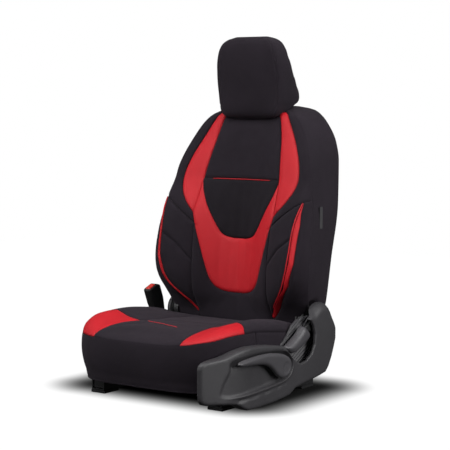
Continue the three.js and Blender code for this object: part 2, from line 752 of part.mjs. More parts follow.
// ---------- backrest cover panels, drawn in front view for the right side ----------
const CENTRE_EDGE = [
  [66, 800], [84, 770], [95, 755], [101, 740], [113, 690], [118, 660], [128, 600], [131, 567],
];
const INSET_EDGE = [[131, 567], [126, 545], [112, 513], [87, 467], [66, 430], [44, 413], [20, 408]];
const WING_EDGE = [
  [100, 800], [118, 765], [133, 740], [161, 690], [186, 640], [200, 594], [199, 560], [182, 524], [140, 478],
];
const YOKE_EDGE = [[140, 478], [127, 430], [98, 361], [90, 312], [76, 276], [52, 259], [24, 253]];
const WEDGE = [
  [230, 522], [232, 456], [224, 356], [208, 293], [156, 224], [139, 226], [188, 284], [211, 356], [213, 449],
];

// An outline moved outwards by a distance, with mitred corners.
function growOutline(outline, grow) {
  const ccw = THREE.ShapeUtils.area(outline.map(([x, z]) => new THREE.Vector2(x, z))) > 0;
  const outward = ccw ? grow : -grow;
  const points = outline.map(([x, z]) => new THREE.Vector2(x, z));
  const normals = points.map((p, i) => {
    const along = points[(i + 1) % points.length].clone().sub(p).normalize();
    return new THREE.Vector2(along.y, -along.x);
  });
  return points.map((p, i) => {
    const before = normals[(i + normals.length - 1) % normals.length];
    const reach = outward / Math.max(1 + before.dot(normals[i]), 0.1);
    return [p.x + (before.x + normals[i].x) * reach, p.y + (before.y + normals[i].y) * reach];
  });
}

const panelTool = (outline, grow) => prismY(growOutline(outline, grow), 60, 316);

function wingOutline(side) {
  const outline = [...CENTRE_EDGE, ...WING_EDGE.slice().reverse()];
  return side > 0 ? outline : mirrorX(outline);
}

function yokeOutline() {
  const inner = [[131, 556], ...INSET_EDGE.slice(2)];
  const outer = [[138, 472], ...YOKE_EDGE.slice(1)];
  return [...inner, ...mirrorX(inner), ...mirrorX(outer).reverse(), ...outer.slice().reverse()];
}

const wedgeOutline = (side) => (side > 0 ? WEDGE : mirrorX(WEDGE));

const PANELS = {
  backrest_wing_left: wingOutline(-1),
  backrest_wing_right: wingOutline(1),
  backrest_yoke: yokeOutline(),
  backrest_wedge_left: wedgeOutline(-1),
  backrest_wedge_right: wedgeOutline(1),
};

function backrestCover(shell) {
  const panels = Object.values(PANELS).map((outline) => panelTool(outline, GAP));
  return cut(shell, ...panels, ...reclinerRoom(), ...backrestCavities());
}

// Small sewn-in label standing out of the side seam.
function sideTag() {
  const tag = new THREE.BoxGeometry(1, 16, 60);
  return tag.rotateZ(0.09).translate(257.4, 232, 478);
}

// ---------- head restraint ----------
const HEAD_BOTTOM = 750;
const HEAD_TOP = 983;
const headFront = curve([
  [750, 258], [756, 247], [772, 241], [830, 237], [890, 232], [940, 229], [965, 232], [978, 241], [983, 253],
]);
const headRear = curve([
  [750, 266], [756, 276], [772, 309], [788, 341], [797, 357], [806, 363], [820, 361], [850, 347], [900, 323],
  [945, 303], [970, 291], [980, 279], [983, 268],
]);
const headHalfWidth = curve([
  [750, 64], [756, 80], [772, 94], [800, 103], [855, 107], [900, 103], [937, 92], [962, 74], [978, 50],
  [983, 30],
]);
const HEAD_LEVELS = [750, 758, 775, 795, 815, 850, 900, 940, 966, 979, 983];

function headRing(z, inset) {
  const middle = (HEAD_BOTTOM + HEAD_TOP) / 2;
  const height = middle + (z - middle) * (1 - (2 * inset) / (HEAD_TOP - HEAD_BOTTOM));
  const [front, rear] = [headFront(z) + inset, headRear(z) - inset];
  const reach = headHalfWidth(z) - inset;
  const [centre, half] = [(front + rear) / 2, Math.max((rear - front) / 2, 1)];
  const count = 18;
  return Array.from({ length: count }, (_, i) => {
    const angle = (i / count) * 2 * Math.PI;
    const [c, s] = [Math.cos(angle), Math.sin(angle)];
    const [power, depthPower] = [0.32, 0.42];
    return [
      reach * Math.sign(c) * Math.abs(c) ** power,
      centre + half * Math.sign(s) * Math.abs(s) ** depthPower,
      height,
    ];
  });
}

const headBody = (inset) => loft(HEAD_LEVELS.map((z) => headRing(z, inset)));

function postPath() {
  const [x, y, bottom, top, bend] = [POST_X, POST_Y, 612, 850, 22];
  return [
    new THREE.LineCurve3(vec(-x, y, bottom), vec(-x, y, top - bend)),
    new THREE.QuadraticBezierCurve3(vec(-x, y, top - bend), vec(-x, y, top), vec(-x + bend, y, top)),
    new THREE.LineCurve3(vec(-x + bend, y, top), vec(x - bend, y, top)),
    new THREE.QuadraticBezierCurve3(vec(x - bend, y, top), vec(x, y, top), vec(x, y, top - bend)),
    new THREE.LineCurve3(vec(x, y, top - bend), vec(x, y, bottom)),
  ];
}

function headrestPosts(grow) {
  return bar(postPath(), POST_RADIUS + grow, 8, 18);
}

const coreBlock = (grow) => box(-72 - grow, 72 + grow, 292 - grow, 327 + grow, 830 - grow, 866 + grow);

const headrestCore = () => cut(coreBlock(0), headrestPosts(0.6));

const postRooms = () => Object.values(sides).map((s) => rodZ(POST_RADIUS + 2, s * POST_X, POST_Y, 700, 840, 16));

const headrestFoam = () => cut(headBody(COVER_THICK + 1), coreBlock(0.6), ...postRooms());

const headrestCover = () => cut(headBody(0), headBody(COVER_THICK), ...postRooms());

// ---------- assembly ----------
Object.entries(sides).forEach(([name, side]) => {
  addPiece(`lower_rail_${name}`, lowerRail(side * RAIL_X), zincSteel);
  addPiece(`rail_foot_front_${name}`, railFoot(side * RAIL_X, -158), blackSteel);
  addPiece(`rail_foot_rear_${name}`, railFoot(side * RAIL_X, 218), blackSteel);
  addPiece(`upper_rail_${name}`, upperRail(side), zincSteel);
  addPiece(`front_lift_link_${name}`, liftLink(side, FRONT_PIVOT), blackSteel);
  addPiece(`rear_lift_link_${name}`, liftLink(side, REAR_PIVOT), blackSteel);
  addPiece(`cushion_side_member_${name}`, cushionSideMember(side), blackSteel);
  addPiece(`recliner_disc_${name}`, reclinerDisc(side), zincSteel);
  addPiece(`backrest_side_member_${name}`, backrestSideMember(side), blackSteel);
  addPiece(`headrest_sleeve_${name}`, headrestSleeve(side), blackPlastic);
});
addPiece('track_release_bar', trackReleaseBar(), blackSteel);
addPiece('front_torque_tube', torqueTube(FRONT_PIVOT), blackSteel);
addPiece('rear_torque_tube', torqueTube(REAR_PIVOT), blackSteel);
addPiece('seat_pan', seatPan(), blackSteel);
addPiece('rear_cross_tube', rearCrossTube(), blackSteel);
addPiece('lift_pump', liftPump(), blackSteel);
addPiece('lift_lever', liftLever(), greyPlastic);
addPiece('recliner_sync_shaft', reclinerSyncShaft(), zincSteel);
addPiece('recline_lever', reclineLever(), greyPlastic);
addPiece('inner_recliner_cover', innerReclinerCover(), greyPlastic);
addPiece('side_shield', sideShield(), greyPlastic);
addPiece('pocket_liner', pocketLiner(), blackPlastic);
addPiece('buckle_anchor_bolt', buckleAnchorBolt(), zincSteel);
addPiece('buckle_stalk', buckleStalk(), blackPlastic);
addPiece('buckle_housing', buckleHousing(), blackPlastic);
addPiece('buckle_button', buckleButton(), redPlastic);

const inserts = Object.entries(sides);
const cushionShell = cushionCoverShell();
addPiece('cushion_foam', cushionFoam(), foamYellow);
addPiece('cushion_cover', cut(cushionShell, ...inserts.map(([, s]) => cushionInsertTool(s, GAP))), blackFabric);
inserts.forEach(([name, side]) => {
  addPiece(`cushion_insert_${name}`, common(cushionShell, cushionInsertTool(side, 0)), redLeather);
});
addPiece('cushion_skirt_front', skirtFront(), blackFabric);
addPiece('cushion_skirt_left', skirtSide('left'), blackFabric);
addPiece('cushion_skirt_right', skirtSide('right'), blackFabric);

const backShell = backrestShell();
addPiece('backrest_foam', backrestFoam(), foamYellow);
addPiece('backrest_cover', backrestCover(backShell), blackFabric);
Object.entries(PANELS).forEach(([name, outline]) => {
  addPiece(name, common(backShell, panelTool(outline, 0)), redLeather);
});
addPiece('backrest_top_tube', backrestTopTube(), blackSteel);
addPiece('backrest_lower_member', backrestLowerMember(0), blackSteel);
addPiece('lumbar_mat', lumbarMat(), zincSteel);
addPiece('side_tag', sideTag(), greyLabel);
addPiece('headrest_release_button', headrestReleaseButton(), blackPlastic);

addPiece('headrest_posts', headrestPosts(0), chromedSteel);
addPiece('headrest_core', headrestCore(), blackPlastic);
addPiece('headrest_foam', headrestFoam(), foamYellow);
addPiece('headrest_cover', headrestCover(), blackFabric);

export default seat;
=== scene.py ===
"""Car front seat wearing a fitted black and red cover set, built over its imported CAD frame.

Units are metres once a mesh is made. The shape tables are in millimetres, measured from the seat's
centre plane (x), the same fore-aft datum as the CAD source (y, forwards is negative) and the floor (z).
"""

import math

import bmesh
import bpy
import numpy as np
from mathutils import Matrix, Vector
from mathutils.bvhtree import BVHTree
from mathutils.geometry import delaunay_2d_cdt


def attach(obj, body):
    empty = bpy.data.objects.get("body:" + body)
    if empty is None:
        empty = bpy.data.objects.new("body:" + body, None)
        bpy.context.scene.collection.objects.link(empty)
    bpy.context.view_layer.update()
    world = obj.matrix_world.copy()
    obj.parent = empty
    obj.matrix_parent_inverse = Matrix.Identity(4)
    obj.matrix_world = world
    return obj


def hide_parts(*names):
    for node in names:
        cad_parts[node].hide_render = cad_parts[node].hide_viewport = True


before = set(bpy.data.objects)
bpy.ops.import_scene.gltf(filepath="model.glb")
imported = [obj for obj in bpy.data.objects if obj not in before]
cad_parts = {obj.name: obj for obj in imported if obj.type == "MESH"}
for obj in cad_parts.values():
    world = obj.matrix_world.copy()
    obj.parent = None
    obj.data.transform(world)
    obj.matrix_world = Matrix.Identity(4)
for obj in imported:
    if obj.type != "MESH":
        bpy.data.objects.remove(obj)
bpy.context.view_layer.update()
scene = bpy.context.scene
scene.view_settings.view_transform = "Standard"

MM = 0.001
SIDES = (("left", -1), ("right", 1))
COVER_THICK, SKIRT_THICK = 1.6, 2.0     # the covers' cloth with its lining, mm
PANEL_PITCH = 7.0                       # triangle size of the sewn panels, mm
END_TAPER = 0.35                        # how much the ends of a round strip narrow
CLOTH_FRAMES, CLOTH_MASS, CLOTH_PRESSURE = 20, 0.3, 4.0     # of the padding's simulation
SHIFT = np.array([-1.0, -28.0, 0.0])    # from the drawing datum to the frame's origin, mm


# ---------- camera, floor and light ----------
VIEW_AZIMUTH, VIEW_ELEVATION = math.radians(36), math.radians(5)
VIEW_DISTANCE = 4.1
VIEW_TARGET = Vector((0.095, -0.028, 0.466))
SENSOR_WIDTH, LENS = 36, 120.8          # mm
LIGHTS = {                              # place, aim, size and power of each
    "top_softbox": ((0.2, -1.7, 2.7), (0.0, 0.0, 0.4), (3.4, 3.0), 108),
    "side_softbox": ((3.4, 0.6, 1.5), (0, 0.1, 0.5), (1.6, 2.4), 98),
    "left_softbox": ((-2.6, -2.4, 1.3), (0, -0.1, 0.4), (1.2, 1.6), 26),
}
FILL_LOW, FILL_HIGH = 0.03, 0.26        # light from the surroundings, below and above
FILL_TOP = 0.9                          # height on the unit sphere where it is brightest
FLOOR_REACH = 3.4
# the floor's own near-black grey, which shows as the painted shadow wherever its glow is off
FLOOR_SHADOW_GREY = 0.02
SHADOW_CENTRE, SHADOW_HALF = (-0.02, 0.05), (0.25, 0.15)    # painted shadow: the dark rounded rectangle of the floor under the seat
SHADOW_REACH = 0.19                                     # how far its soft edge takes to fade to white
SHADOW_FADE = 2.2                                       # and how slowly it starts


def make_camera():
    """Looks at the seat from its front right."""
    away = Vector((
        math.sin(VIEW_AZIMUTH) * math.cos(VIEW_ELEVATION),
        -math.cos(VIEW_AZIMUTH) * math.cos(VIEW_ELEVATION),
        math.sin(VIEW_ELEVATION),
    ))
    camera = bpy.data.objects.new("camera", bpy.data.cameras.new("camera"))
    camera.data.sensor_width = SENSOR_WIDTH
    camera.data.lens = LENS
    camera.location = VIEW_TARGET + away * VIEW_DISTANCE
    camera.rotation_mode = "QUATERNION"
    camera.rotation_quaternion = (-away).to_track_quat("-Z", "Y")
    scene.collection.objects.link(camera)
    scene.camera = camera


def add_light(name, place, aim, size, power):
    data = bpy.data.lights.new(name, "AREA")
    data.shape = "RECTANGLE"
    data.size, data.size_y = size
    data.energy = power
    light = bpy.data.objects.new(name, data)
    light.location = place
    light.rotation_mode = "QUATERNION"
    light.rotation_quaternion = (Vector(aim) - Vector(place)).to_track_quat("-Z", "Y")
    scene.collection.objects.link(light)


def make_world():
    """White behind everything, with a softer light from above than the background shows."""
    world = bpy.data.worlds.new("studio")
    world.use_nodes = True
    tree = world.node_tree
    background = tree.nodes["Background"]
    background.inputs["Color"].default_value = (1, 1, 1, 1)
    path = tree.nodes.new("ShaderNodeLightPath")
    place = tree.nodes.new("ShaderNodeTexCoord")
    height = tree.nodes.new("ShaderNodeSeparateXYZ")
    tree.links.new(place.outputs["Generated"], height.inputs[0])
    fill = tree.nodes.new("ShaderNodeMapRange")
    fill.inputs["From Min"].default_value = 0.0
    fill.inputs["From Max"].default_value = FILL_TOP
    fill.inputs["To Min"].default_value = FILL_LOW
    fill.inputs["To Max"].default_value = FILL_HIGH
    tree.links.new(height.outputs["Z"], fill.inputs["Value"])
    seen = tree.nodes.new("ShaderNodeMath")
    seen.operation = "MAXIMUM"
    tree.links.new(path.outputs["Is Camera Ray"], seen.inputs[0])
    tree.links.new(fill.outputs["Result"], seen.inputs[1])
    tree.links.new(seen.outputs["Value"], background.inputs["Strength"])
    scene.world = world


def make_floor():
    """A floor that glows white, with a painted shadow under the seat: dark in a rounded rectangle there and
    fading to white around it.
    """
    mesh = bpy.data.meshes.new("floor")
    reach = FLOOR_REACH
    corners = [(-reach, -reach, 0), (reach, -reach, 0), (reach, reach, 0), (-reach, reach, 0)]
    mesh.from_pydata(corners, [], [(0, 1, 2, 3)])
    floor = bpy.data.objects.new("floor", mesh)
    scene.collection.objects.link(floor)
    floor.visible_diffuse = False
    floor.visible_glossy = False
    n = Nodes("glowing_floor_painted_shadow")
    n.set(
        Base_Color=(FLOOR_SHADOW_GREY, FLOOR_SHADOW_GREY, FLOOR_SHADOW_GREY, 1),
        Roughness=0.8,
        Specular_IOR_Level=0.0,
        Emission_Color=(1, 1, 1, 1),
    )
    source = n.place
    for operation, operand in (
        ("SUBTRACT", (*SHADOW_CENTRE, 0)),
        ("ABSOLUTE", None),
        ("SUBTRACT", (*SHADOW_HALF, 0)),
        ("MAXIMUM", (0, 0, 0)),
        ("LENGTH", None),
    ):
        step = n.node("ShaderNodeVectorMath", operation=operation)
        n.put(step.inputs[0], source)
        if operand:
            n.put(step.inputs[1], operand)
        source = step.outputs["Value" if operation == "LENGTH" else "Vector"]
    # the floor's glow: off in the painted shadow under the seat, rising to full white at its edge
    glow = n.node("ShaderNodeMapRange", interpolation_type="SMOOTHSTEP")
    n.put(glow.inputs["From Max"], SHADOW_REACH)
    n.put(glow.inputs["Value"], source)
    n.set(Emission_Strength=n.math("POWER", glow.outputs["Result"], SHADOW_FADE))
    floor.data.materials.append(n.material)


# ---------- materials ----------
class Nodes:
    """A material's node tree with short calls for what these materials use."""

    def __init__(self, name):
        self.material = bpy.data.materials.new(name)
        self.material.use_nodes = True
        self.tree = self.material.node_tree
        self.shader = self.tree.nodes["Principled BSDF"]
        self.place = self.node("ShaderNodeTexCoord").outputs["Object"]

    def node(self, kind, **settings):
        made = self.tree.nodes.new(kind)
        for key, value in settings.items():
            setattr(made, key, value)
        return made

    def put(self, socket, value):
        if isinstance(value, bpy.types.NodeSocket):
            self.tree.links.new(value, socket)
        else:
            socket.default_value = value

    def set(self, **values):
        for key, value in values.items():
            self.put(self.shader.inputs[key.replace("_", " ")], value)

    def noise(self, scale, detail=3.0, source=None):
        made = self.node("ShaderNodeTexNoise")
        made.inputs["Scale"].default_value = scale
        made.inputs["Detail"].default_value = detail
        self.put(made.inputs["Vector"], source or self.place)
        return made.outputs["Fac"]

    def cells(self, scale, feature="F1"):
        """Distance within small random cells."""
        made = self.node("ShaderNodeTexVoronoi", feature=feature)
        made.inputs["Scale"].default_value = scale
        self.put(made.inputs["Vector"], self.place)
        return made.outputs["Distance"]

    def math(self, operation, a, b=0.0, c=0.0):
        made = self.node("ShaderNodeMath", operation=operation)
        for socket, value in zip(made.inputs, (a, b, c)):
            self.put(socket, value)
        return made.outputs["Value"]

    def stripes(self, direction, pitch):
        """A smooth wave from 0 to 1 that repeats every pitch along a direction."""
        dot = self.node("ShaderNodeVectorMath", operation="DOT_PRODUCT")
        self.put(dot.inputs[0], self.place)
        dot.inputs[1].default_value = direction
        turns = self.math("MULTIPLY", dot.outputs["Value"], 2 * math.pi / pitch)
        return self.math("MULTIPLY_ADD", self.math("SINE", turns), 0.5, 0.5)

    def ramp(self, value, low, high):
        """Blends two colours by a value from 0 to 1."""
        made = self.node("ShaderNodeMix", data_type="RGBA")
        self.put(made.inputs[0], value)
        made.inputs[6].default_value = (*low, 1)
        made.inputs[7].default_value = (*high, 1)
        return made.outputs[2]

    def spread(self, value, low, high):
        """Maps a value from 0..1 to low..high."""
        made = self.node("ShaderNodeMapRange")
        self.put(made.inputs["Value"], value)
        made.inputs["To Min"].default_value = low
        made.inputs["To Max"].default_value = high
        return made.outputs["Result"]

    def bump(self, *layers):
        """Stacks bump layers, each (height value, distance in metres)."""
        normal = None
        for height, distance in layers:
            made = self.node("ShaderNodeBump")
            made.inputs["Strength"].default_value = 1.0
            made.inputs["Distance"].default_value = distance
            self.put(made.inputs["Height"], height)
            if normal is not None:
                self.put(made.inputs["Normal"], normal)
            normal = made.outputs["Normal"]
        self.put(self.shader.inputs["Normal"], normal)


KNIT_PITCH = 0.0021


def knit_fabric(name, dark, light, sheen=0.05):
    n = Nodes(name)
    warp = n.stripes((1.0, 0.75, 0.35), KNIT_PITCH)
    weft = n.stripes((-0.35, 0.55, 1.0), KNIT_PITCH)
    weave = n.math("MULTIPLY", warp, weft)
    cloud = n.noise(9.0, 4.0)
    tone = n.math("MULTIPLY_ADD", weave, 0.45, n.math("MULTIPLY", cloud, 0.55))
    n.set(
        Base_Color=n.ramp(tone, dark, light),
        Roughness=n.spread(n.noise(40.0), 0.78, 0.95),
        Specular_IOR_Level=0.16,
        Sheen_Weight=sheen,
        Sheen_Roughness=0.45,
        Sheen_Tint=(0.86, 0.74, 0.86, 1),
    )
    n.bump((n.noise(22.0, 2.0), 0.0012), (weave, 0.00045))
    return n.material


def grained_leather(name, dark, light):
    n = Nodes(name)
    edge = n.cells(520, "DISTANCE_TO_EDGE")
    pore = n.math("MINIMUM", n.math("MULTIPLY", edge, 5.0), 1.0)
    tone = n.math("MULTIPLY_ADD", pore, 0.35, n.math("MULTIPLY", n.noise(14.0, 5.0), 0.65))
    n.set(
        Base_Color=n.ramp(tone, dark, light),
        Roughness=n.spread(n.noise(60.0), 0.46, 0.60),
        Specular_IOR_Level=0.3,
    )
    n.bump((n.noise(30.0, 2.0), 0.0010), (pore, 0.00022))
    return n.material


def moulded_plastic(name, dark, light, rough=(0.42, 0.56), grain=0.00016):
    n = Nodes(name)
    n.set(
        Base_Color=n.ramp(n.noise(11.0, 4.0), dark, light),
        Roughness=n.spread(n.noise(70.0), *rough),
        Specular_IOR_Level=0.5,
    )
    n.bump((n.cells(700), grain))
    return n.material


def worn_metal(name, dark, light, rough=(0.3, 0.5), metallic=1.0):
    n = Nodes(name)
    brushed = n.noise(260.0, 2.0)
    n.set(
        Base_Color=n.ramp(n.noise(18.0, 5.0), dark, light),
        Metallic=metallic,
        Roughness=n.spread(brushed, *rough),
    )
    n.bump((brushed, 0.00005))
    return n.material


def soft_foam(name):
    n = Nodes(name)
    n.set(
        Base_Color=n.ramp(n.noise(12.0, 4.0), (0.42, 0.36, 0.22), (0.62, 0.55, 0.38)),
        Roughness=0.95,
    )
    n.bump((n.cells(420), 0.0008))
    return n.material


FABRIC = knit_fabric("black_knit_fabric", (0.010, 0.0076, 0.0106), (0.027, 0.0205, 0.0288))
FABRIC_INSET = knit_fabric("black_knit_inset", (0.007, 0.0058, 0.0075), (0.020, 0.016, 0.0215), 0.03)
LEATHER = grained_leather("red_leatherette", (0.44, 0.006, 0.012), (0.58, 0.012, 0.021))
PIPING = grained_leather("red_piping", (0.44, 0.007, 0.013), (0.58, 0.013, 0.021))
SHIELD_GREY = moulded_plastic("moulded_grey_plastic", (0.027, 0.0258, 0.0285), (0.044, 0.042, 0.0463))
LEVER_GREY = moulded_plastic(
    "lever_grey_plastic", (0.049, 0.0468, 0.0515), (0.075, 0.072, 0.079), (0.34, 0.46),
)
LINER_GREY = moulded_plastic("pocket_liner_plastic", (0.028, 0.0265, 0.0295), (0.048, 0.0455, 0.051))
BLACK_PLASTIC = moulded_plastic(
    "black_plastic", (0.002, 0.002, 0.0022), (0.005, 0.005, 0.0055), (0.50, 0.62),
)
RED_PLASTIC = moulded_plastic(
    "red_button_plastic", (0.50, 0.020, 0.014), (0.66, 0.045, 0.030), (0.28, 0.40), grain=0.00008,
)
BLACK_STEEL = worn_metal(
    "black_coated_steel", (0.012, 0.012, 0.013), (0.03, 0.03, 0.032), (0.35, 0.55), metallic=0.3,
)
ZINC_STEEL = worn_metal("zinc_plated_steel", (0.30, 0.31, 0.33), (0.52, 0.53, 0.55))
CHROME = worn_metal("chromed_steel", (0.62, 0.63, 0.66), (0.78, 0.79, 0.81), (0.08, 0.16))
LABEL = knit_fabric("grey_label_fabric", (0.02, 0.02, 0.021), (0.10, 0.10, 0.105))
FOAM = soft_foam("seat_foam")


# ---------- shape helpers ----------
def curve(*table):
    """Smooth monotone curve through [input, value] pairs, for arrays."""
    xs, ys = np.array(table, float).T
    slope = np.diff(ys) / np.diff(xs)
    tangent = np.zeros(len(xs))
    tangent[0], tangent[-1] = slope[0], slope[-1]
    for i in range(1, len(xs) - 1):
        if slope[i - 1] * slope[i] > 0:
            tangent[i] = 2 / (1 / slope[i - 1] + 1 / slope[i])

    def at(value):
        v = np.clip(np.asarray(value, float), xs[0], xs[-1])
        i = np.clip(np.searchsorted(xs, v, side="right") - 1, 0, len(xs) - 2)
        h, rise = xs[i + 1] - xs[i], ys[i + 1] - ys[i]
        t = (v - xs[i]) / h
        ease = t * t * (3 - 2 * t)
        return ys[i] + rise * ease + h * t * (1 - t) * ((1 - t) * tangent[i] - t * tangent[i + 1])

    return at


def smooth(t):
    t = np.clip(t, 0, 1)
    return t * t * (3 - 2 * t)


def mirrored(points):
    return [(-x, z) for x, z in points]


def soften(line):
    return line if len(line) < 4 or line[0] == line[-1] else rounded(line)


def on_both_sides(lines):
    """Smoothed seam lines on the right and the same on the left."""
    return [soften(line) for line in lines] + [soften(mirrored(line)) for line in lines]


def resample(points, step, closed=False):
    """Points about step apart along a polyline, keeping its corners."""
    pts = [np.array(p, float) for p in points]
    if closed:
        pts.append(pts[0])
    out = [pts[0]]
    for a, b in zip(pts, pts[1:]):
        parts = max(1, round(np.linalg.norm(b - a) / step))
        out.extend(a + (b - a) * k / parts for k in range(1, parts + 1))
    return np.array(out[:-1] if closed else out)


def rounded(points, closed=False, rounds=2):
    """Cuts a polyline's corners a few times (Chaikin), so that it becomes a smooth curve."""
    pts = np.array(points, float)
    for _ in range(rounds):
        nxt = np.roll(pts, -1, axis=0) if closed else pts[1:]
        cur = pts if closed else pts[:-1]
        pair = np.stack([cur * 0.75 + nxt * 0.25, cur * 0.25 + nxt * 0.75], axis=1)
        pair = pair.reshape(-1, pts.shape[1])
        pts = pair if closed else np.vstack([pts[:1], pair, pts[-1:]])
    return pts


def distance_to(points, lines):
    """Distance from each 2-D point to the nearest segment of several polylines."""
    best = np.full(len(points), 1e9)
    for line in lines:
        for a, b in zip(line, line[1:]):
            d = b - a
            t = np.clip(((points - a) @ d) / max(d @ d, 1e-12), 0, 1)
            gap = points - (a + t[:, None] * d)
            best = np.minimum(best, np.hypot(gap[:, 0], gap[:, 1]))
    return best


def inside(points, outline):
    """True for each 2-D point within a closed outline."""
    x, y = points[:, 0], points[:, 1]
    odd = np.zeros(len(points), bool)
    for (x0, y0), (x1, y1) in zip(outline, np.roll(outline, -1, axis=0)):
        if y0 == y1:
            continue
        crosses = (y0 > y) != (y1 > y)
        odd ^= crosses & (x < (x1 - x0) * (y - y0) / (y1 - y0) + x0)
    return odd


class Pattern:
    """A flat pattern cut into panels by seam lines, triangulated with finer rows along each seam."""

    def __init__(self, outline, seams, pitch, holes=(), step=5.0, rows=(1.6, 3.6, 6.4)):
        self.outline = resample(outline, step, closed=True)
        self.holes = [resample(h, step, closed=True) for h in holes]
        self.lines = ring_lines(self.outline, *self.holes) + [resample(s, step) for s in seams]
        walls = self.triangulate(np.vstack([self.field(pitch, rows[-1]), *self.seam_rows(rows)]))
        self.gap = distance_to(self.points, self.lines)
        self.region = self.flood(walls)

    def field(self, pitch, clear):
        """Staggered points over the pattern, away from its lines."""
        low, high = self.outline.min(axis=0), self.outline.max(axis=0)
        xs = np.arange(low[0] + pitch / 2, high[0], pitch)
        ys = np.arange(low[1] + pitch / 2, high[1], pitch * 0.87)
        grid = np.array([(x + (k % 2) * pitch / 2, y) for k, y in enumerate(ys) for x in xs])
        away = distance_to(grid, self.lines) > clear + pitch * 0.45
        return grid[inside(grid, self.outline) & away]

    def seam_rows(self, rows):
        """Points in rows beside each line, at these distances from it."""
        points = []
        for line in self.lines:
            ahead = np.diff(line, axis=0)
            normal = np.stack([-ahead[:, 1], ahead[:, 0]], axis=1)
            normal /= np.linalg.norm(normal, axis=1)[:, None]
            middle = (line[1:] + line[:-1]) / 2
            for k, row in enumerate(rows):
                start = middle if k % 2 else line[:-1]
                for side in (1, -1):
                    moved = start + normal * row * side
                    clear = distance_to(moved, self.lines) > row * 0.93
                    points.append(moved[clear & inside(moved, self.outline)])
        return points

    def triangulate(self, free):
        """Joins the lines and the free points up. Returns the edges that lie along the lines."""
        edges, offset = [], 0
        for line in self.lines:
            edges.extend((offset + i, offset + i + 1) for i in range(len(line) - 1))
            offset += len(line)
        every = np.vstack([*self.lines, free])
        made = delaunay_2d_cdt([Vector(p) for p in every], edges, [], 0, 1e-3)
        self.points = np.array([tuple(v) for v in made[0]])
        faces = np.array([tuple(f) for f in made[2]])
        centres = self.points[faces].mean(axis=1)
        keep = inside(centres, self.outline)
        for hole in self.holes:
            keep &= ~inside(centres, hole)
        self.faces = faces[keep]
        self.centres = centres[keep]
        return {tuple(sorted(e)) for e, source in zip(made[1], made[4]) if source}

    def flood(self, walls):
        """Numbers the areas that the seams close off."""
        by_edge = {}
        for index, face in enumerate(self.faces):
            for a, b in zip(face, np.roll(face, -1)):
                key = (min(a, b), max(a, b))
                if key not in walls:
                    by_edge.setdefault(key, []).append(index)
        beside = [[] for _ in self.faces]
        for pair in by_edge.values():
            if len(pair) == 2:
                beside[pair[0]].append(pair[1])
                beside[pair[1]].append(pair[0])
        region = np.full(len(self.faces), -1)
        for seed in range(len(self.faces)):
            if region[seed] >= 0:
                continue
            stack, region[seed] = [seed], seed
            while stack:
                for other in beside[stack.pop()]:
                    if region[other] < 0:
                        region[other] = seed
                        stack.append(other)
        return region

    def part(self, *spots):
        """The faces of the areas that hold these spots."""
        wanted = set()
        for spot in spots:
            away = np.hypot(*(self.centres - np.array(spot)).T)
            wanted.add(self.region[np.argmin(away)])
        return self.faces[np.isin(self.region, list(wanted))]


def build(name, points, faces, material, thick=0.0, outward=None):
    """An object from points in mm on the drawing datum, with smooth shading."""
    used = np.unique(np.concatenate([np.ravel(f) for f in faces]))
    renumber = {old: new for new, old in enumerate(used)}
    mesh = bpy.data.meshes.new(name)
    coordinates = (np.asarray(points)[used] + SHIFT) * MM
    mesh.from_pydata(coordinates.tolist(), [], [[renumber[i] for i in f] for f in faces])
    mesh.validate()
    work = bmesh.new()
    work.from_mesh(mesh)
    bmesh.ops.recalc_face_normals(work, faces=work.faces)
    if outward:
        total = sum((face.normal * face.calc_area() for face in work.faces), Vector())
        if total.dot(Vector(outward)) < 0:
            bmesh.ops.reverse_faces(work, faces=work.faces)
    work.to_mesh(mesh)
    work.free()
    mesh.polygons.foreach_set("use_smooth", [True] * len(mesh.polygons))
    obj = bpy.data.objects.new(name, mesh)
    scene.collection.objects.link(obj)
    mesh.materials.append(material)
    if thick:
        modifier = obj.modifiers.new("thickness", "SOLIDIFY")
        modifier.thickness, modifier.offset = thick * MM, -1
    apply_modifiers(obj)
    return obj


def apply_modifiers(obj):
    if not obj.modifiers:
        return
    evaluated = obj.evaluated_get(bpy.context.evaluated_depsgraph_get())
    mesh = bpy.data.meshes.new_from_object(evaluated)
    obj.modifiers.clear()
    old, obj.data = obj.data, mesh
    bpy.data.meshes.remove(old)


def grid_faces(rows, columns, wrap=False):
    """Quads over a grid of points stored row by row."""
    across = columns if wrap else columns - 1
    faces = []
    for r in range(rows - 1):
        for c in range(across):
            d = (c + 1) % columns
            faces.append((r * columns + c, r * columns + d, (r + 1) * columns + d, (r + 1) * columns + c))
    return faces


def closed_faces(rows, columns):
    """Quads over rings stored one after another, and a face over each end."""
    last = (rows - 1) * columns
    return grid_faces(rows, columns, wrap=True) + [
        tuple(range(columns)),
        tuple(range(last, last + columns)),
    ]


def cloth_panel(name, points, rows, thick=COVER_THICK):
    """A cloth panel from a grid of points stored row by row."""
    return build(name, points, grid_faces(rows, len(points) // rows), FABRIC, thick=thick)


def sewn(pattern, points, parts):
    """The panels of a sewn cover, from each one's name, material and spots on the flat pattern."""
    return {
        name: build(name, points, pattern.part(*spots), material, thick=COVER_THICK)
        for name, material, spots in parts
    }


def declare(pieces, body):
    """Puts pieces on a body."""
    for piece in pieces:
        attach(piece, body)


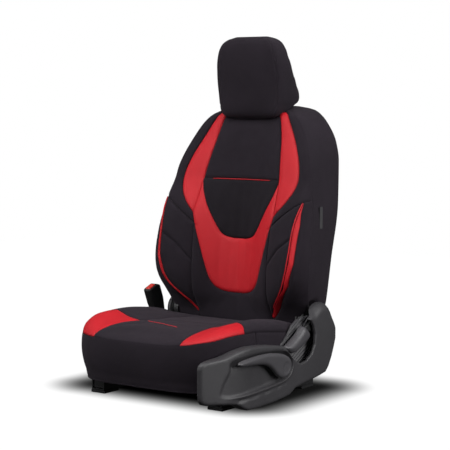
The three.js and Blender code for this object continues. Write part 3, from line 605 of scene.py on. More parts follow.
def tube(name, path, radius, material, sides=10, guide=(0.3, 0.2, 0.93)):
    """A round strip swept along 3-D points in mm, narrowed at its closed ends."""
    path = np.asarray(path, float)
    ahead = np.gradient(path, axis=0)
    ahead /= np.linalg.norm(ahead, axis=1)[:, None]
    side = np.cross(ahead, np.array(guide))
    side /= np.linalg.norm(side, axis=1)[:, None]
    up = np.cross(side, ahead)
    count = len(path)
    taper = np.ones(count)
    taper[0] = taper[-1] = END_TAPER
    angle = np.arange(sides) / sides * 2 * math.pi
    around = np.cos(angle)[None, :, None] * side[:, None] + np.sin(angle)[None, :, None] * up[:, None]
    rings = path[:, None] + radius * taper[:, None, None] * around
    return build(name, rings.reshape(-1, 3), closed_faces(count, sides), material)


def ring_lines(*rings):
    """Closed rings as polylines that end where they begin."""
    return [np.vstack([r, r[:1]]) for r in (np.asarray(ring, float) for ring in rings)]


def dome(gap, roll):
    """0 at a rim, rising round a quarter circle to 1 at the given distance from it."""
    return np.sqrt(1 - (1 - np.clip(gap / roll, 0, 1)) ** 2)


def sideways(points):
    """From side view (y, z, height) to (x, y, z)."""
    return points[:, [2, 0, 1]]


def moulding(
    name, outline, surface, floor, material, holes=(), creases=(), pitch=6.0, step=3.0, place=sideways,
    walls=(0.3, 0.65), closed=True, thick=0.0, outward=None,
):
    """A moulded piece drawn flat: surface gives its face's height at each point, floor that of its back.

    Walls join the two round the outline and the holes. An open one has its face and walls only.
    """
    pattern = Pattern(outline, creases, pitch, holes, step=step, rows=(0.6, 1.7, 3.4, 6.0))
    flat = pattern.points
    top = np.column_stack([flat, surface(flat)])
    back = np.column_stack([flat, floor(flat)])
    points, faces = [top], [tuple(f) for f in pattern.faces]
    count = len(flat)
    if closed:
        points.append(back)
        faces += [tuple(reversed([i + count for i in f])) for f in pattern.faces]
        count *= 2
    for rim in (pattern.outline, *pattern.holes):
        ring = [int(np.argmin(np.hypot(*(flat - p).T))) for p in rim]
        rows = [ring]
        for share in walls if closed else (*walls, 1.0):
            points.append(top[ring] + (back[ring] - top[ring]) * share)
            rows.append(list(range(count, count + len(ring))))
            count += len(ring)
        if closed:
            rows.append([i + len(flat) for i in ring])
        for upper, lower in zip(rows, rows[1:]):
            for k in range(len(ring)):
                j = (k + 1) % len(ring)
                faces.append((upper[k], upper[j], lower[j], lower[k]))
    return build(name, place(np.vstack(points)), faces, material, thick=thick, outward=outward)


def puffed(points, faces, pinned, cap):
    """Blows a closed form up as cloth held at its seams. Returns how far each point moves, in mm."""
    mesh = bpy.data.meshes.new("padding")
    mesh.from_pydata((np.asarray(points) * MM).tolist(), [], faces)
    work = bmesh.new()
    work.from_mesh(mesh)
    bmesh.ops.recalc_face_normals(work, faces=work.faces)
    work.to_mesh(mesh)
    work.free()
    pad = bpy.data.objects.new("padding", mesh)
    scene.collection.objects.link(pad)
    group = pad.vertex_groups.new(name="seams")
    group.add([int(i) for i in np.flatnonzero(pinned)], 1.0, "REPLACE")
    cloth = pad.modifiers.new("cloth", "CLOTH")
    cloth.settings.vertex_group_mass = "seams"
    cloth.settings.quality = 5
    cloth.settings.mass = CLOTH_MASS
    cloth.settings.use_pressure = True
    cloth.settings.uniform_pressure_force = CLOTH_PRESSURE
    cloth.settings.effector_weights.gravity = 0
    cloth.point_cache.frame_start, cloth.point_cache.frame_end = 1, CLOTH_FRAMES
    for step in range(1, CLOTH_FRAMES + 1):
        scene.frame_set(step)
    held = pad.evaluated_get(bpy.context.evaluated_depsgraph_get()).to_mesh()
    moved = np.array([v.co for v in held.vertices]) / MM - np.asarray(points)
    bpy.data.objects.remove(pad)
    scene.frame_set(1)
    length = np.linalg.norm(moved, axis=1)
    return moved * (np.minimum(length, cap) / np.maximum(length, 1e-6))[:, None]


class Padding:
    """A base form and how its cloth moved, to be asked for at any point near it."""

    def __init__(self, points, faces, pinned, cap):
        self.points = np.asarray(points)
        self.faces = faces
        self.moved = puffed(points, faces, pinned, cap)
        self.tree = BVHTree.FromPolygons(self.points.tolist(), faces)

    def at(self, points):
        """These points carried along by the cloth."""
        points = np.asarray(points, float)
        out = points.copy()
        for i, p in enumerate(points):
            near, _, face, _ = self.tree.find_nearest(p)
            corners = list(self.faces[face])
            weight = 1 / (np.linalg.norm(self.points[corners] - np.array(near), axis=1) + 0.5) ** 2
            out[i] += (self.moved[corners] * weight[:, None]).sum(axis=0) / weight.sum()
        return out


# ---------- backrest cover ----------
BACK_BOTTOM, BACK_TOP = 155, 785
front_y = curve(
    (155, 190), (220, 192), (287, 195), (350, 200), (425, 208), (500, 214), (590, 224), (650, 238),
    (696, 252), (740, 263), (756, 268), (766, 276), (773, 293), (779, 315), (783, 332), (785, 345),
)
bolster_depth = curve(
    (155, 5), (190, 13), (220, 30), (252, 54), (286, 72), (318, 81), (360, 84), (396, 82), (438, 77),
    (481, 65), (525, 46), (590, 20), (696, 7), (785, 2),
)
crest_x = curve(
    (155, 150), (220, 166), (252, 188), (286, 210), (318, 222), (360, 228), (525, 226), (590, 203),
    (696, 165), (740, 140), (772, 90), (785, 40),
)
half_width = curve(
    (155, 200), (190, 216), (220, 238), (260, 254), (300, 264), (340, 268), (380, 268), (425, 265),
    (480, 258), (515, 250), (565, 241), (625, 228), (670, 211), (715, 187), (745, 164), (768, 134),
    (780, 108), (785, 90),
)
rear_y = curve(
    (155, 318), (220, 332), (280, 341), (350, 350), (450, 360), (610, 369), (700, 373), (760, 375),
    (780, 374), (785, 372),
)
rear_half_width = curve(
    (155, 190), (200, 212), (226, 218), (355, 225), (515, 239), (632, 237), (686, 226), (737, 197),
    (773, 158), (782, 124), (785, 100),
)
BACK_TOP_LEVELS = [770, 775, 780, 785]
RECLINE_AXIS = (215, 190)
RECLINER_ROOM, RECLINER_REACH = 200.8, 46   # half width left for the recliners, and how far round them
FOLD_DEPTH, FOLD_WIDTH, FOLD_TOP = 6, 13, 560
FACE_SWELL, SIDE_SWELL, REAR_SWELL = 3, 4.0, 4      # how far each panel stands out of its flat
REAR_ROLL = 9                               # how far the rear panel's edges turn forward
SEAM_DEPTH = 4.6
SEAM_HOLD = 4.6                             # the padding is held this near to a seam

CENTRE_EDGE = [(60, 810), (84, 770), (95, 755), (101, 740), (113, 690), (118, 660), (128, 600), (131, 567)]
INSET_EDGE = [(131, 567), (126, 545), (112, 513), (87, 467), (66, 430), (50, 414), (22, 408), (0, 407)]
WING_EDGE = [
    (84, 770), (116, 768), (133, 740), (161, 690), (186, 640), (200, 594), (199, 560), (182, 524),
    (140, 478),
]
YOKE_EDGE = [(140, 478), (127, 430), (106, 361), (92, 312), (78, 277), (54, 258), (24, 253), (0, 253)]
WING_TUCK = [(131, 567), (136, 522), (140, 478)]
WEDGE = [
    (236, 522), (240, 456), (237, 356), (218, 293), (164, 222), (134, 190), (127, 195), (147, 224),
    (202, 284), (223, 356), (227, 449),
]
UPPER_DART = [(262, 532), (236, 522), (204, 503), (165, 474), (127, 443)]
LOWER_DART = [(225, 424), (178, 392), (130, 340)]
BOLSTER_SEAM = [(140, 478), (132, 446), (130, 340), (129, 223), (127, 140)]
CROSS_SEAM_HEIGHT, CROSS_SEAM_HALF, CROSS_PIPING_HALF = 577, 132, 100
fold_x = curve(
    (155, 119), (198, 128), (224, 147), (284, 202), (356, 224), (449, 227), (522, 242), (620, 256),
)
roll_back = curve((155, 4), (200, 10), (260, 36), (480, 36), (560, 14), (620, 4), (785, 4))


def tuck(gap, depth=SEAM_DEPTH, width=3.4):
    """How far a seam pulls the cover in, by the distance from it."""
    return depth * np.exp(-(gap / width) ** 1.5)


def back_front(x, z):
    """Depth of the face, which comes forward from its middle to the crests and rolls back outside them."""
    crest, width = crest_x(z), half_width(z)
    y = front_y(z) - bolster_depth(z) * smooth(np.abs(x) / crest)
    beyond = np.maximum(np.abs(x) - crest, 0) / np.maximum(width - crest, 1)
    fade = smooth((FOLD_TOP - z) / 70)
    fold = FOLD_DEPTH * smooth((np.abs(x) - fold_x(z)) / FOLD_WIDTH) * smooth((z - 165) / 60) * fade
    return y + fold - FACE_SWELL * smooth((z - 200) / 60) * fade + roll_back(z) * beyond ** 2


def clear_recliner(points):
    """Draws the sides in where the recliners stand."""
    out = np.array(points, float)
    away = np.hypot(out[:, 1] - RECLINE_AXIS[0], out[:, 2] - RECLINE_AXIS[1])
    room = RECLINER_ROOM + np.maximum(away - RECLINER_REACH, 0) * 3
    out[:, 0] = np.clip(out[:, 0], -room, room)
    return out


def back_side(share, z):
    """The side panel from the front edge (0) to the rear edge (1)."""
    width, deep = half_width(z), back_front(half_width(z), z)
    far, rear = rear_half_width(z), rear_y(z) - REAR_ROLL
    swell = SIDE_SWELL * np.sin(np.pi * np.clip(share, 0, 1)) ** 0.7
    return width + (far - width) * share + swell, deep + (rear - deep) * share


def back_rear(share, z):
    """The rear panel from the left edge (-1) to the right edge (1)."""
    far, rear = rear_half_width(z), rear_y(z)
    x = far * share
    edge = np.clip((np.abs(share) - 0.85) / 0.15, 0, 1)
    return x, rear + REAR_SWELL * (1 - share ** 2) - REAR_ROLL * edge ** 1.6


def back_seams():
    """Every seam of the face. The inset and the yoke each have a short seam that crosses the middle."""
    right = [
        CENTRE_EDGE, INSET_EDGE[:-1], WING_EDGE, YOKE_EDGE[:-1], WING_TUCK, WEDGE + WEDGE[:1], UPPER_DART,
        LOWER_DART, BOLSTER_SEAM,
    ]
    cross = [(-CROSS_SEAM_HALF, CROSS_SEAM_HEIGHT), (CROSS_SEAM_HALF, CROSS_SEAM_HEIGHT)]
    middle = [[edge[-2], *mirrored([edge[-2]])] for edge in (INSET_EDGE, YOKE_EDGE)]
    return on_both_sides(right) + [cross] + middle


def back_base():
    """Closed rings of the whole backrest for the padding, with the points on its seams marked."""
    levels = np.concatenate([np.arange(BACK_BOTTOM, 770, 9.0), [772, 778, 782, BACK_TOP]])
    face_count, side_count, rear_count = 57, 14, 49
    rings, held = [], []
    seams = [resample(s, 8) for s in back_seams()]
    for z in levels:
        x = np.linspace(-1, 1, face_count) * half_width(z)
        front = np.stack([x, back_front(x, z), np.full(face_count, z)], axis=1)
        side_x, side_y = back_side(np.linspace(0, 1, side_count + 2)[1:-1], z)
        right = np.stack([side_x, side_y, np.full(side_count, z)], axis=1)
        rear_x, y = back_rear(np.linspace(1, -1, rear_count), z)
        rear = np.stack([rear_x, y, np.full(rear_count, z)], axis=1)
        left = right[::-1] * (-1, 1, 1)
        rings.append(np.vstack([front, right, rear, left]))
        near = distance_to(front[:, [0, 2]], seams) < SEAM_HOLD
        near[0] = near[-1] = True
        edge = np.zeros(rear_count, bool)
        edge[0] = edge[-1] = True
        side = np.zeros(side_count, bool)
        held.append(np.concatenate([near, side, edge, side]))
    held[0][:] = held[1][:] = True
    held[-1][:] = True
    return np.vstack(rings), closed_faces(len(levels), len(rings[0])), np.concatenate(held)


def back_panels(padding):
    z = np.concatenate([np.arange(BACK_BOTTOM, 700, 15.0), np.arange(700, BACK_TOP, 4.0), [BACK_TOP]])
    right = np.stack([half_width(z), z], axis=1)
    outline = np.vstack([right, (right * (-1, 1))[::-1]])
    pattern = Pattern(outline, back_seams(), PANEL_PITCH)
    x, z = pattern.points.T
    y = back_front(x, z) + tuck(pattern.gap)
    points = padding.at(np.stack([x, y, z], axis=1))
    parts = [
        ("backrest_centre_upper", FABRIC, [(0, 680)]),
        ("backrest_centre_inset", FABRIC_INSET, [(0, 500)]),
        ("backrest_lower_centre", FABRIC, [(110, 300)]),
        ("backrest_yoke_panel", LEATHER, [(0, 330)]),
    ]
    for name, s in SIDES:
        parts += [
            (f"backrest_wing_panel_{name}", LEATHER, [(160 * s, 600)]),
            (f"backrest_wedge_panel_{name}", LEATHER, [(232 * s, 400)]),
            (f"backrest_shoulder_{name}", FABRIC, [(225 * s, 600)]),
            (f"backrest_bolster_{name}", FABRIC, [(180 * s, 440), (170 * s, 300)]),
            (f"backrest_outer_{name}", FABRIC, [(255 * s, 400), (180 * s, 200)]),
        ]
    return sewn(pattern, points, parts)


def back_side_panel(name, side, padding):
    rows = np.concatenate([np.arange(BACK_BOTTOM, 770, 8.0), BACK_TOP_LEVELS])
    columns = np.concatenate([[0, 0.012, 0.03, 0.055], np.linspace(0.09, 0.93, 20), [0.955, 0.975, 0.99, 1]])
    points = []
    for z in rows:
        x, y = back_side(columns, z)
        depth = np.hypot(half_width(z) - rear_half_width(z), rear_y(z) - back_front(half_width(z), z))
        gap = np.minimum(columns, 1 - columns) * depth
        points.append(np.stack([(x - tuck(gap)) * side, y, np.full(len(columns), z)], axis=1))
    return cloth_panel(f"backrest_gusset_{name}", clear_recliner(padding.at(np.vstack(points))), len(rows))


def back_rear_panel(padding):
    rows = np.concatenate([np.arange(BACK_BOTTOM, 770, 10.0), BACK_TOP_LEVELS])
    edge = np.array([0.96, 0.98, 0.992, 1])
    columns = np.concatenate([-edge[::-1], np.linspace(-0.93, 0.93, 45), edge])
    points = []
    for z in rows:
        x, y = back_rear(columns, z)
        gap = (1 - np.abs(columns)) * rear_half_width(z)
        points.append(np.stack([x, y - tuck(gap), np.full(len(columns), z)], axis=1))
    return cloth_panel("backrest_rear_panel", padding.at(np.vstack(points)), len(rows))


def back_closing(padding):
    """The narrow top strip and the underside, which close the cover between its front and rear."""
    made = []
    for name, z, rise in (("backrest_top_strip", BACK_TOP, 2.0), ("backrest_underside", BACK_BOTTOM, 0.0)):
        share = np.linspace(-1, 1, 41)
        front_x = share * half_width(z)
        rear_x, back = back_rear(share, z)
        front = back_front(front_x, z)
        rows = []
        for t in np.linspace(0, 1, 7):
            x = front_x + (rear_x - front_x) * t
            y = front + (back - front) * t
            height = z + rise * math.sin(math.pi * t) * np.sqrt(1 - share ** 2)
            rows.append(np.stack([x, y, height], axis=1))
        made.append(cloth_panel(name, clear_recliner(np.vstack(rows)), len(rows)))
    return made


def over_front(line, padding, lift):
    """A flat line in front view laid on the backrest's front, in mm."""
    line = resample(line, 6)
    x, z = line.T
    return padding.at(np.stack([x, back_front(x, z) - lift, z], axis=1))


def build_backrest():
    padding = Padding(*back_base(), cap=7.0)
    cover = back_panels(padding)
    sides = [back_side_panel(name, s, padding) for name, s in SIDES]
    rear = back_rear_panel(padding)
    closing = back_closing(padding)
    trims = []
    for name, s in SIDES:
        edge = rounded([(x * s, z) for x, z in [WEDGE[0], *WEDGE[:6:-1]]])
        trims.append(tube(f"backrest_piping_{name}", over_front(edge, padding, 0.6), 1.5, PIPING))
    cross = [(-CROSS_PIPING_HALF, CROSS_SEAM_HEIGHT), (CROSS_PIPING_HALF, CROSS_SEAM_HEIGHT)]
    trims.append(tube("backrest_cross_piping", over_front(cross, padding, 0.4), 1.2, PIPING))
    for name, piece in cover.items():
        declare([piece], "backrest")
    declare([*sides, rear, *closing], "backrest")
    declare(trims, "backrest")
    for name, _ in SIDES:
        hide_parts(f"backrest_wing_{name}")
        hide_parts(f"backrest_wedge_{name}")
    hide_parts("backrest_yoke")
    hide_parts("backrest_cover", "backrest_foam")


# ---------- cushion cover ----------
CUSHION_FRONT, CUSHION_REAR, CUSHION_HALF, CUSHION_CORNER = -275, 169, 250, 200
CUSHION_POWER = 3.6                     # how square the front corners are
CUSHION_MIDDLE, CUSHION_DEPTH = -50, 222
CUSHION_ROLL = 42                       # width of the rounded edge
FOAM_FLOOR, REAR_HEM, HEM_HEIGHT = 134, 136, 50     # lower edges of the foam, rear strip and skirt
CUSHION_CREST = 205
SKIRT_BULGE, SKIRT_TURN, SKIRT_WAVE = 5.0, 12, 0.9
SKIRT_ROWS = 14
seam_base = curve(
    (-275, 174), (-240, 174), (-200, 180), (-150, 191), (-87, 198), (-50, 195), (0, 189), (60, 181),
    (120, 173), (172, 166),
)
seam_rise = curve((-275, 0), (-240, 14), (-200, 16), (-150, 9), (-87, 0), (172, 0))
mid_height = curve(
    (-275, 174), (-250, 187), (-200, 192), (-100, 194), (0, 190), (100, 185), (172, 178),
)
bolster_height = curve(
    (-275, 175), (-245, 192), (-200, 209), (-150, 219), (-60, 221), (40, 213), (120, 199), (172, 180),
)
INSERT_INNER = [(120, -98), (137, -150), (142, -240), (150, -292)]
INSERT_REAR = [(120, -98), (160, -101), (205, -90), (235, -108), (262, -142)]
BOLSTER_INNER = [(120, -98), (108, -50), (100, 20), (98, 180)]
SKIRT_SEAM = -75
TRIM_LINE = [(-89, -106), (-30, -122), (44, -146)]


def cushion_half_width(y):
    depth = np.clip((CUSHION_FRONT + CUSHION_CORNER - y) / CUSHION_CORNER, 0, 1)
    return CUSHION_HALF * np.maximum(1 - depth ** CUSHION_POWER, 0) ** (1 / CUSHION_POWER)


def seam_height(x, y):
    """Height of the seam round the top: it stands a little higher on the door side's front corner."""
    return seam_base(y) + seam_rise(y) * smooth(x / 150)


def cushion_top(x, y):
    across = np.minimum(np.abs(x) / CUSHION_CREST, 1) ** 3
    crown = mid_height(y) + (bolster_height(y) - mid_height(y)) * across
    inset = np.minimum(cushion_half_width(y) - np.abs(x), y - CUSHION_FRONT)
    seam = seam_height(x, y)
    return seam + (np.maximum(crown, seam) - seam) * dome(inset, CUSHION_ROLL)


def cushion_outline(step):
    """Plan of the cushion from the right rear corner round the front to the left rear corner."""
    angle = np.linspace(0, math.pi / 2, 40)
    arc = np.stack([
        CUSHION_HALF * np.cos(angle) ** (2 / CUSHION_POWER),
        CUSHION_FRONT + CUSHION_CORNER - CUSHION_CORNER * np.sin(angle) ** (2 / CUSHION_POWER),
    ], axis=1)
    right = np.vstack([[(CUSHION_HALF, CUSHION_REAR)], arc])
    whole = np.vstack([right, (right * (-1, 1))[::-1][1:]])
    return resample(resample(whole, 1.0), 1.0)[::step]


def cushion_base():
    """Closed rings of the cushion from its underside to the middle of its top, with the seams marked."""
    plan = cushion_outline(8)
    back = resample([plan[-1], plan[0]], 9.0)[1:-1]
    plan = np.vstack([plan, back])
    seams = [resample(s, 8) for s in cushion_seams()]
    rings, held = [], []
    centre = np.array([0, CUSHION_MIDDLE])
    scales = [1, 0.985, 0.965, 0.94, 0.91, 0.87] + list(np.linspace(0.83, 0.04, 22))
    rings.append(np.column_stack([plan, np.full(len(plan), float(FOAM_FLOOR))]))
    held.append(np.ones(len(plan), bool))
    for scale in scales:
        flat = centre + (plan - centre) * scale
        rings.append(np.column_stack([flat, cushion_top(*flat.T)]))
        held.append(distance_to(flat, seams) < 5 if scale < 1 else np.ones(len(plan), bool))
    return np.vstack(rings), closed_faces(len(rings), len(plan)), np.concatenate(held)


def cushion_seams():
    return on_both_sides([INSERT_INNER, INSERT_REAR, BOLSTER_INNER])


def cushion_panels(padding):
    pattern = Pattern(cushion_outline(4), cushion_seams(), PANEL_PITCH)
    x, y = pattern.points.T
    z = cushion_top(x, y) - tuck(pattern.gap, depth=2.6)
    points = padding.at(np.stack([x, y, z], axis=1))
    parts = [("cushion_centre", FABRIC, [(0, -50)])]
    for name, s in SIDES:
        parts.append((f"cushion_insert_panel_{name}", LEATHER, [(200 * s, -180)]))
        parts.append((f"cushion_bolster_{name}", FABRIC, [(200 * s, 0)]))
    return sewn(pattern, points, parts)


def skirt_band(name, belongs):
    """Part of the apron below the top seam, with a hem folded under."""
    plan = np.array([p for p in cushion_outline(5) if belongs(*p)])
    out = plan - (0, CUSHION_MIDDLE)
    out = out * (1, 0.9)
    out /= np.linalg.norm(out, axis=1)[:, None]
    seam = seam_height(*plan.T)
    side = np.abs(plan[:, 1] - SKIRT_SEAM)
    points = []
    shares = np.concatenate([
        [0, 0.015, 0.035, 0.06], np.linspace(0.1, 0.93, SKIRT_ROWS), [0.955, 0.96, 0.98, 1.0],
    ])
    for share in shares:
        z = seam + (HEM_HEIGHT - seam) * share
        bulge = SKIRT_BULGE * np.sin(math.pi * min(share * 1.25, 1)) ** 0.8
        inset = SKIRT_TURN * share ** 2.2 - bulge
        gap = share * (seam - HEM_HEIGHT)
        hem_gap = np.abs(share - 0.9575) * (seam - HEM_HEIGHT)
        inset = inset + tuck(gap, depth=2.4) + tuck(hem_gap, depth=0.9, width=1.6)
        inset = inset + tuck(side, depth=2.2, width=3.0)
        wave = SKIRT_WAVE * share * np.sin(plan[:, 0] * 0.045 + plan[:, 1] * 0.031)
        points.append(np.column_stack([plan - out * (inset + wave)[:, None], z]))
    return cloth_panel(name, np.vstack(points), len(shares), SKIRT_THICK)


def cushion_rear_strip():
    """The cover's rear edge, turned down behind the cushion."""
    x = np.linspace(-CUSHION_HALF, CUSHION_HALF, 61)
    y = np.full(len(x), CUSHION_REAR)
    top = cushion_top(x, y)
    rows = [
        np.column_stack([x, y - 2 * share, top + (REAR_HEM - top) * share])
        for share in np.linspace(0, 1, 8)
    ]
    return cloth_panel("cushion_rear_strip", np.vstack(rows), len(rows))


def foam_block(name, points, faces, inset):
    """The moulded foam under the cushion cover: the cover's base form drawn in all round."""
    shrunk = np.array(points)
    shrunk[:, 0] *= 1 - inset / CUSHION_HALF
    shrunk[:, 1] = CUSHION_MIDDLE + (shrunk[:, 1] - CUSHION_MIDDLE) * (1 - inset / CUSHION_DEPTH)
    shrunk[:, 2] = np.maximum(shrunk[:, 2] - inset, FOAM_FLOOR)
    return build(name, shrunk, faces, FOAM)


def build_cushion():
    base_points, base_faces, held = cushion_base()
    padding = Padding(base_points, base_faces, held, cap=6.0)
    cover = cushion_panels(padding)
    bands = [
        skirt_band("cushion_apron_front", lambda x, y: y <= SKIRT_SEAM),
        skirt_band("cushion_apron_left", lambda x, y: x < 0 and SKIRT_SEAM - 4 <= y < 90),
        skirt_band("cushion_apron_right", lambda x, y: x > 0 and SKIRT_SEAM - 4 <= y < 165),
    ]
    strip = cushion_rear_strip()
    foam = foam_block("cushion_foam_block", base_points, base_faces, 9.0)
    line = resample(rounded(TRIM_LINE), 6)
    z = cushion_top(*line.T) + 0.3
    trim = tube("cushion_trim_line", padding.at(np.column_stack([line, z])), 1.0, PIPING)
    for name, piece in cover.items():
        declare([piece], "cushion_frame")
    declare([*bands, strip], "cushion_frame")
    declare([foam], "cushion_frame")
    declare([trim], "cushion_frame")
    for name, _ in SIDES:
        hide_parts(f"cushion_insert_{name}")
    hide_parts("cushion_cover")
    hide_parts("cushion_foam")
    for piece, part in zip(bands, ("front", "left", "right")):
        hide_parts(f"cushion_skirt_{part}")


# ---------- head restraint cover ----------
HEAD_BOTTOM, HEAD_TOP = 750, 983
head_front = curve(
    (750, 258), (756, 247), (772, 241), (830, 237), (890, 232), (940, 229), (965, 232), (978, 241),
    (983, 253),
)
head_rear = curve(
    (750, 266), (756, 276), (772, 309), (788, 341), (797, 357), (806, 363), (820, 361), (850, 347),
    (900, 323), (945, 303), (970, 291), (980, 279), (983, 268),
)
head_half_width = curve(
    (750, 70), (756, 87), (772, 101), (800, 109), (855, 112), (900, 110), (937, 103), (962, 92),
    (976, 75), (983, 52),
)
HEAD_COUNT = 96
HEAD_SEAM = 12                          # columns from the middle of the side to the seam
HEAD_CREASE = 787                       # height of the crease round its rear
WIDTH_POWER, DEPTH_POWER = 0.22, 0.30    # how square its plan is, across and fore and aft
TOP_TILT = 0.10                         # how much its top rises to the rear


def head_ring(z):
    """One level of the head restraint, seen from above, starting at its right side."""
    angle = np.arange(HEAD_COUNT) / HEAD_COUNT * 2 * math.pi
    front, rear, reach = head_front(z), head_rear(z), head_half_width(z)
    centre, half = (front + rear) / 2, max((rear - front) / 2, 1)
    c, s = np.cos(angle), np.sin(angle)
    across = half * np.sign(s) * np.abs(s) ** DEPTH_POWER
    tilt = TOP_TILT * across * smooth((z - 880) / 100)
    return np.stack([reach * np.sign(c) * np.abs(c) ** WIDTH_POWER, centre + across, z + tilt], axis=1)


def head_levels():
    top = [966, 971, 975, 978.5, 981, 982.5, HEAD_TOP]
    return np.concatenate([[HEAD_BOTTOM, 751.5, 754, 758, 763], np.arange(769, 965, 6.5), top])


def build_headrest():
    levels = head_levels()
    rings = np.stack([head_ring(z) for z in levels])
    columns = np.arange(HEAD_COUNT)
    seam_columns = [HEAD_COUNT - HEAD_SEAM, HEAD_COUNT // 2 + HEAD_SEAM]
    held = np.zeros((len(levels), HEAD_COUNT), bool)
    held[:, seam_columns] = True
    held[:2] = held[-2:] = True
    padding = Padding(rings.reshape(-1, 3), closed_faces(len(levels), HEAD_COUNT), held.ravel(), cap=5.0)
    centre = rings.mean(axis=1, keepdims=True)
    away = rings - centre
    reach = np.linalg.norm(away, axis=2)
    gap = np.min([np.linalg.norm(rings - rings[:, [c]], axis=2) for c in seam_columns], axis=0)
    under = np.abs(levels - HEAD_CREASE)[:, None] + np.zeros(HEAD_COUNT)
    side = (columns > seam_columns[0]) | (columns < seam_columns[1])
    depth = tuck(gap, depth=2.6) + np.where(side, tuck(under, depth=1.8), 0)
    pulled = rings - away * (depth / reach)[:, :, None]
    moved = padding.at(pulled.reshape(-1, 3)).reshape(rings.shape)
    made = []
    for name, picked in (
        ("headrest_front_panel", np.arange(seam_columns[1], seam_columns[0] + 1)),
        ("headrest_side_panel", np.arange(seam_columns[0], seam_columns[1] + HEAD_COUNT + 1) % HEAD_COUNT),
    ):
        part = moved[:, picked]
        made.append(cloth_panel(name, part.reshape(-1, 3), len(levels)))
    for name, row in (("headrest_top_patch", -1), ("headrest_base_patch", 0)):
        outer = moved[row]
        middle = outer.mean(axis=0)
        middle[2] += 0.4 if row else -0.4
        fan = [outer, middle + (outer - middle) * 0.6, middle + (outer - middle) * 0.2]
        faces = grid_faces(3, HEAD_COUNT, wrap=True) + [tuple(range(2 * HEAD_COUNT, 3 * HEAD_COUNT))]
        made.append(build(name, np.vstack(fan), faces, FABRIC, thick=COVER_THICK))
    declare(made, "headrest")
    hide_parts("headrest_cover", "headrest_foam")


# ---------- side shield with its levers ----------
shield_top = curve(
    (-312, 146), (-240, 152), (-195, 164), (-150, 169), (-84, 165), (-14, 155), (20, 146), (78, 178),
    (128, 207), (170, 236), (196, 246), (216, 245), (240, 230), (256, 205), (266, 170),
)
shield_bottom = curve(
    (-312, 40), (-290, 35), (-250, 31), (-205, 26), (-190, 20), (-158, 5), (-97, 4), (35, 14), (64, 29),
    (132, 38), (215, 50), (245, 90), (266, 140),
)
NOTCH = [
    (8, 151), (24, 138), (44, 118), (64, 102), (88, 93), (116, 97), (142, 113), (155, 136), (158, 164),
    (152, 185), (141, 200), (126, 209),
]
RIDGE = [(-262, 44), (-147, 46), (-27, 53), (20, 60), (42, 74), (51, 94), (46, 114), (30, 131), (6, 141)]
DISH = [
    *RIDGE,
    (-30, 144), (-80, 148), (-140, 150), (-185, 148), (-216, 143), (-228, 132), (-226, 116), (-250, 86),
]
CHANNEL = [(-205, 29), (-102, 37), (10, 46), (34, 58), (20, 55), (-27, 48), (-147, 41), (-235, 39)]
PADDLE = [
    (-215, 133), (-207, 140), (-150, 145), (-100, 146), (-60, 143), (-25, 137), (4, 129), (22, 117),
    (28, 100), (24, 82), (10, 70), (-12, 67), (-30, 73), (-45, 83), (-62, 99), (-80, 111), (-105, 119),
    (-150, 123), (-205, 125),
]
STRIP = [
    (105, 193), (90, 182), (70, 168), (44, 155), (20, 146), (26, 136), (54, 122), (94, 136), (126, 151),
    (136, 162), (133, 173), (119, 185),
]
RECLINE_ARM = [
    (120, 186), (150, 196), (205, 204), (222, 202), (229, 190), (222, 178), (205, 176), (160, 172),
    (122, 170),
]
LINER = [
    (24, 130), (50, 98), (99, 82), (150, 82), (192, 96), (211, 130), (209, 164), (196, 176), (190, 202),
    (166, 212), (110, 208), (84, 194), (64, 172), (34, 150),
]
LIP = [
    (280, 0, 149), (269, 24, 143), (264, 46, 144), (264, 72, 153), (264, 99, 165), (264, 126, 182),
    (264, 150, 201), (265, 156, 208),
]
shield_depth = curve((-312, 12), (-240, 30), (266, 30))
SHIELD_BOSSES = [(-130, 106, 273), (236, 150, 286)]      # y, z and how far out each reaches
SHIELD_FACE, SHIELD_WALL, SHIELD_STEP = 290, 2.4, 2.5    # face, wall thickness and the shell's setback
DISH_DEPTH, DISH_REAR_DEPTH, CHANNEL_DEPTH = 3, 8, 5.5   # the dish gets deeper towards the rear
POCKET_ROLL, BEAD_RISE, TOWER_SWELL = 3.5, 1.3, 2.5
POCKET_WALL, ARM_WALL = 9.0, 12.5                        # shallow walls beside the pocket and the arm
BOSS_FOOT, BOSS_RADIUS, LIP_RADIUS = 231, 6, 1.9
LIFT_AXIS = (-2, 92)
# How far out the back, the rim and the crown of each lever stand, and how wide its rounded edge is.
PADDLE_BACK, PADDLE_RIM, PADDLE_TOP, PADDLE_ROLL = 290.8, 292, 301, 9.5
GRIP_BACK, GRIP_RIM, GRIP_TOP, GRIP_ROLL = 271, 280, 292, 17
ARM_BACK, ARM_RIM, ARM_TOP, ARM_ROLL = 268, 273, 275.5, 4
LINER_BACK, LINER_FACE, RIB_HEIGHT, RIB_PITCH = 253.5, 257, 3.4, 9


def shield_face(y):
    """How far out the face stands: flat, and curving in towards the front."""
    return SHIELD_FACE - 42 * (np.maximum(-150 - y, 0) / 162) ** 1.6


def shield_outline():
    """The shield's edge: its top line with the notch of the lever pocket, its rear and its bottom line."""
    def along(level, *stations):
        return [(y, float(level(y))) for y in stations]

    front = [(-312, 130), (-309, 139), (-300, 145)]
    top = along(shield_top, -285, -262, -240, -218, -195, -172, -150, -117, -84, -50, -14)
    tower = along(shield_top, 140, 155, 170, 183, 196, 206, 216, 228, 240, 248, 256, 261, 266)
    base = along(
        shield_bottom, 266, 256, 245, 230, 215, 175, 132, 98, 64, 50, 35, -30, -97, -128, -158, -174, -190,
        -205, -228, -250, -290,
    )
    corner = [(-303, 39), (-310, 47), (-312, 60)]
    return np.array(front + top + NOTCH + tower + base + corner, float)


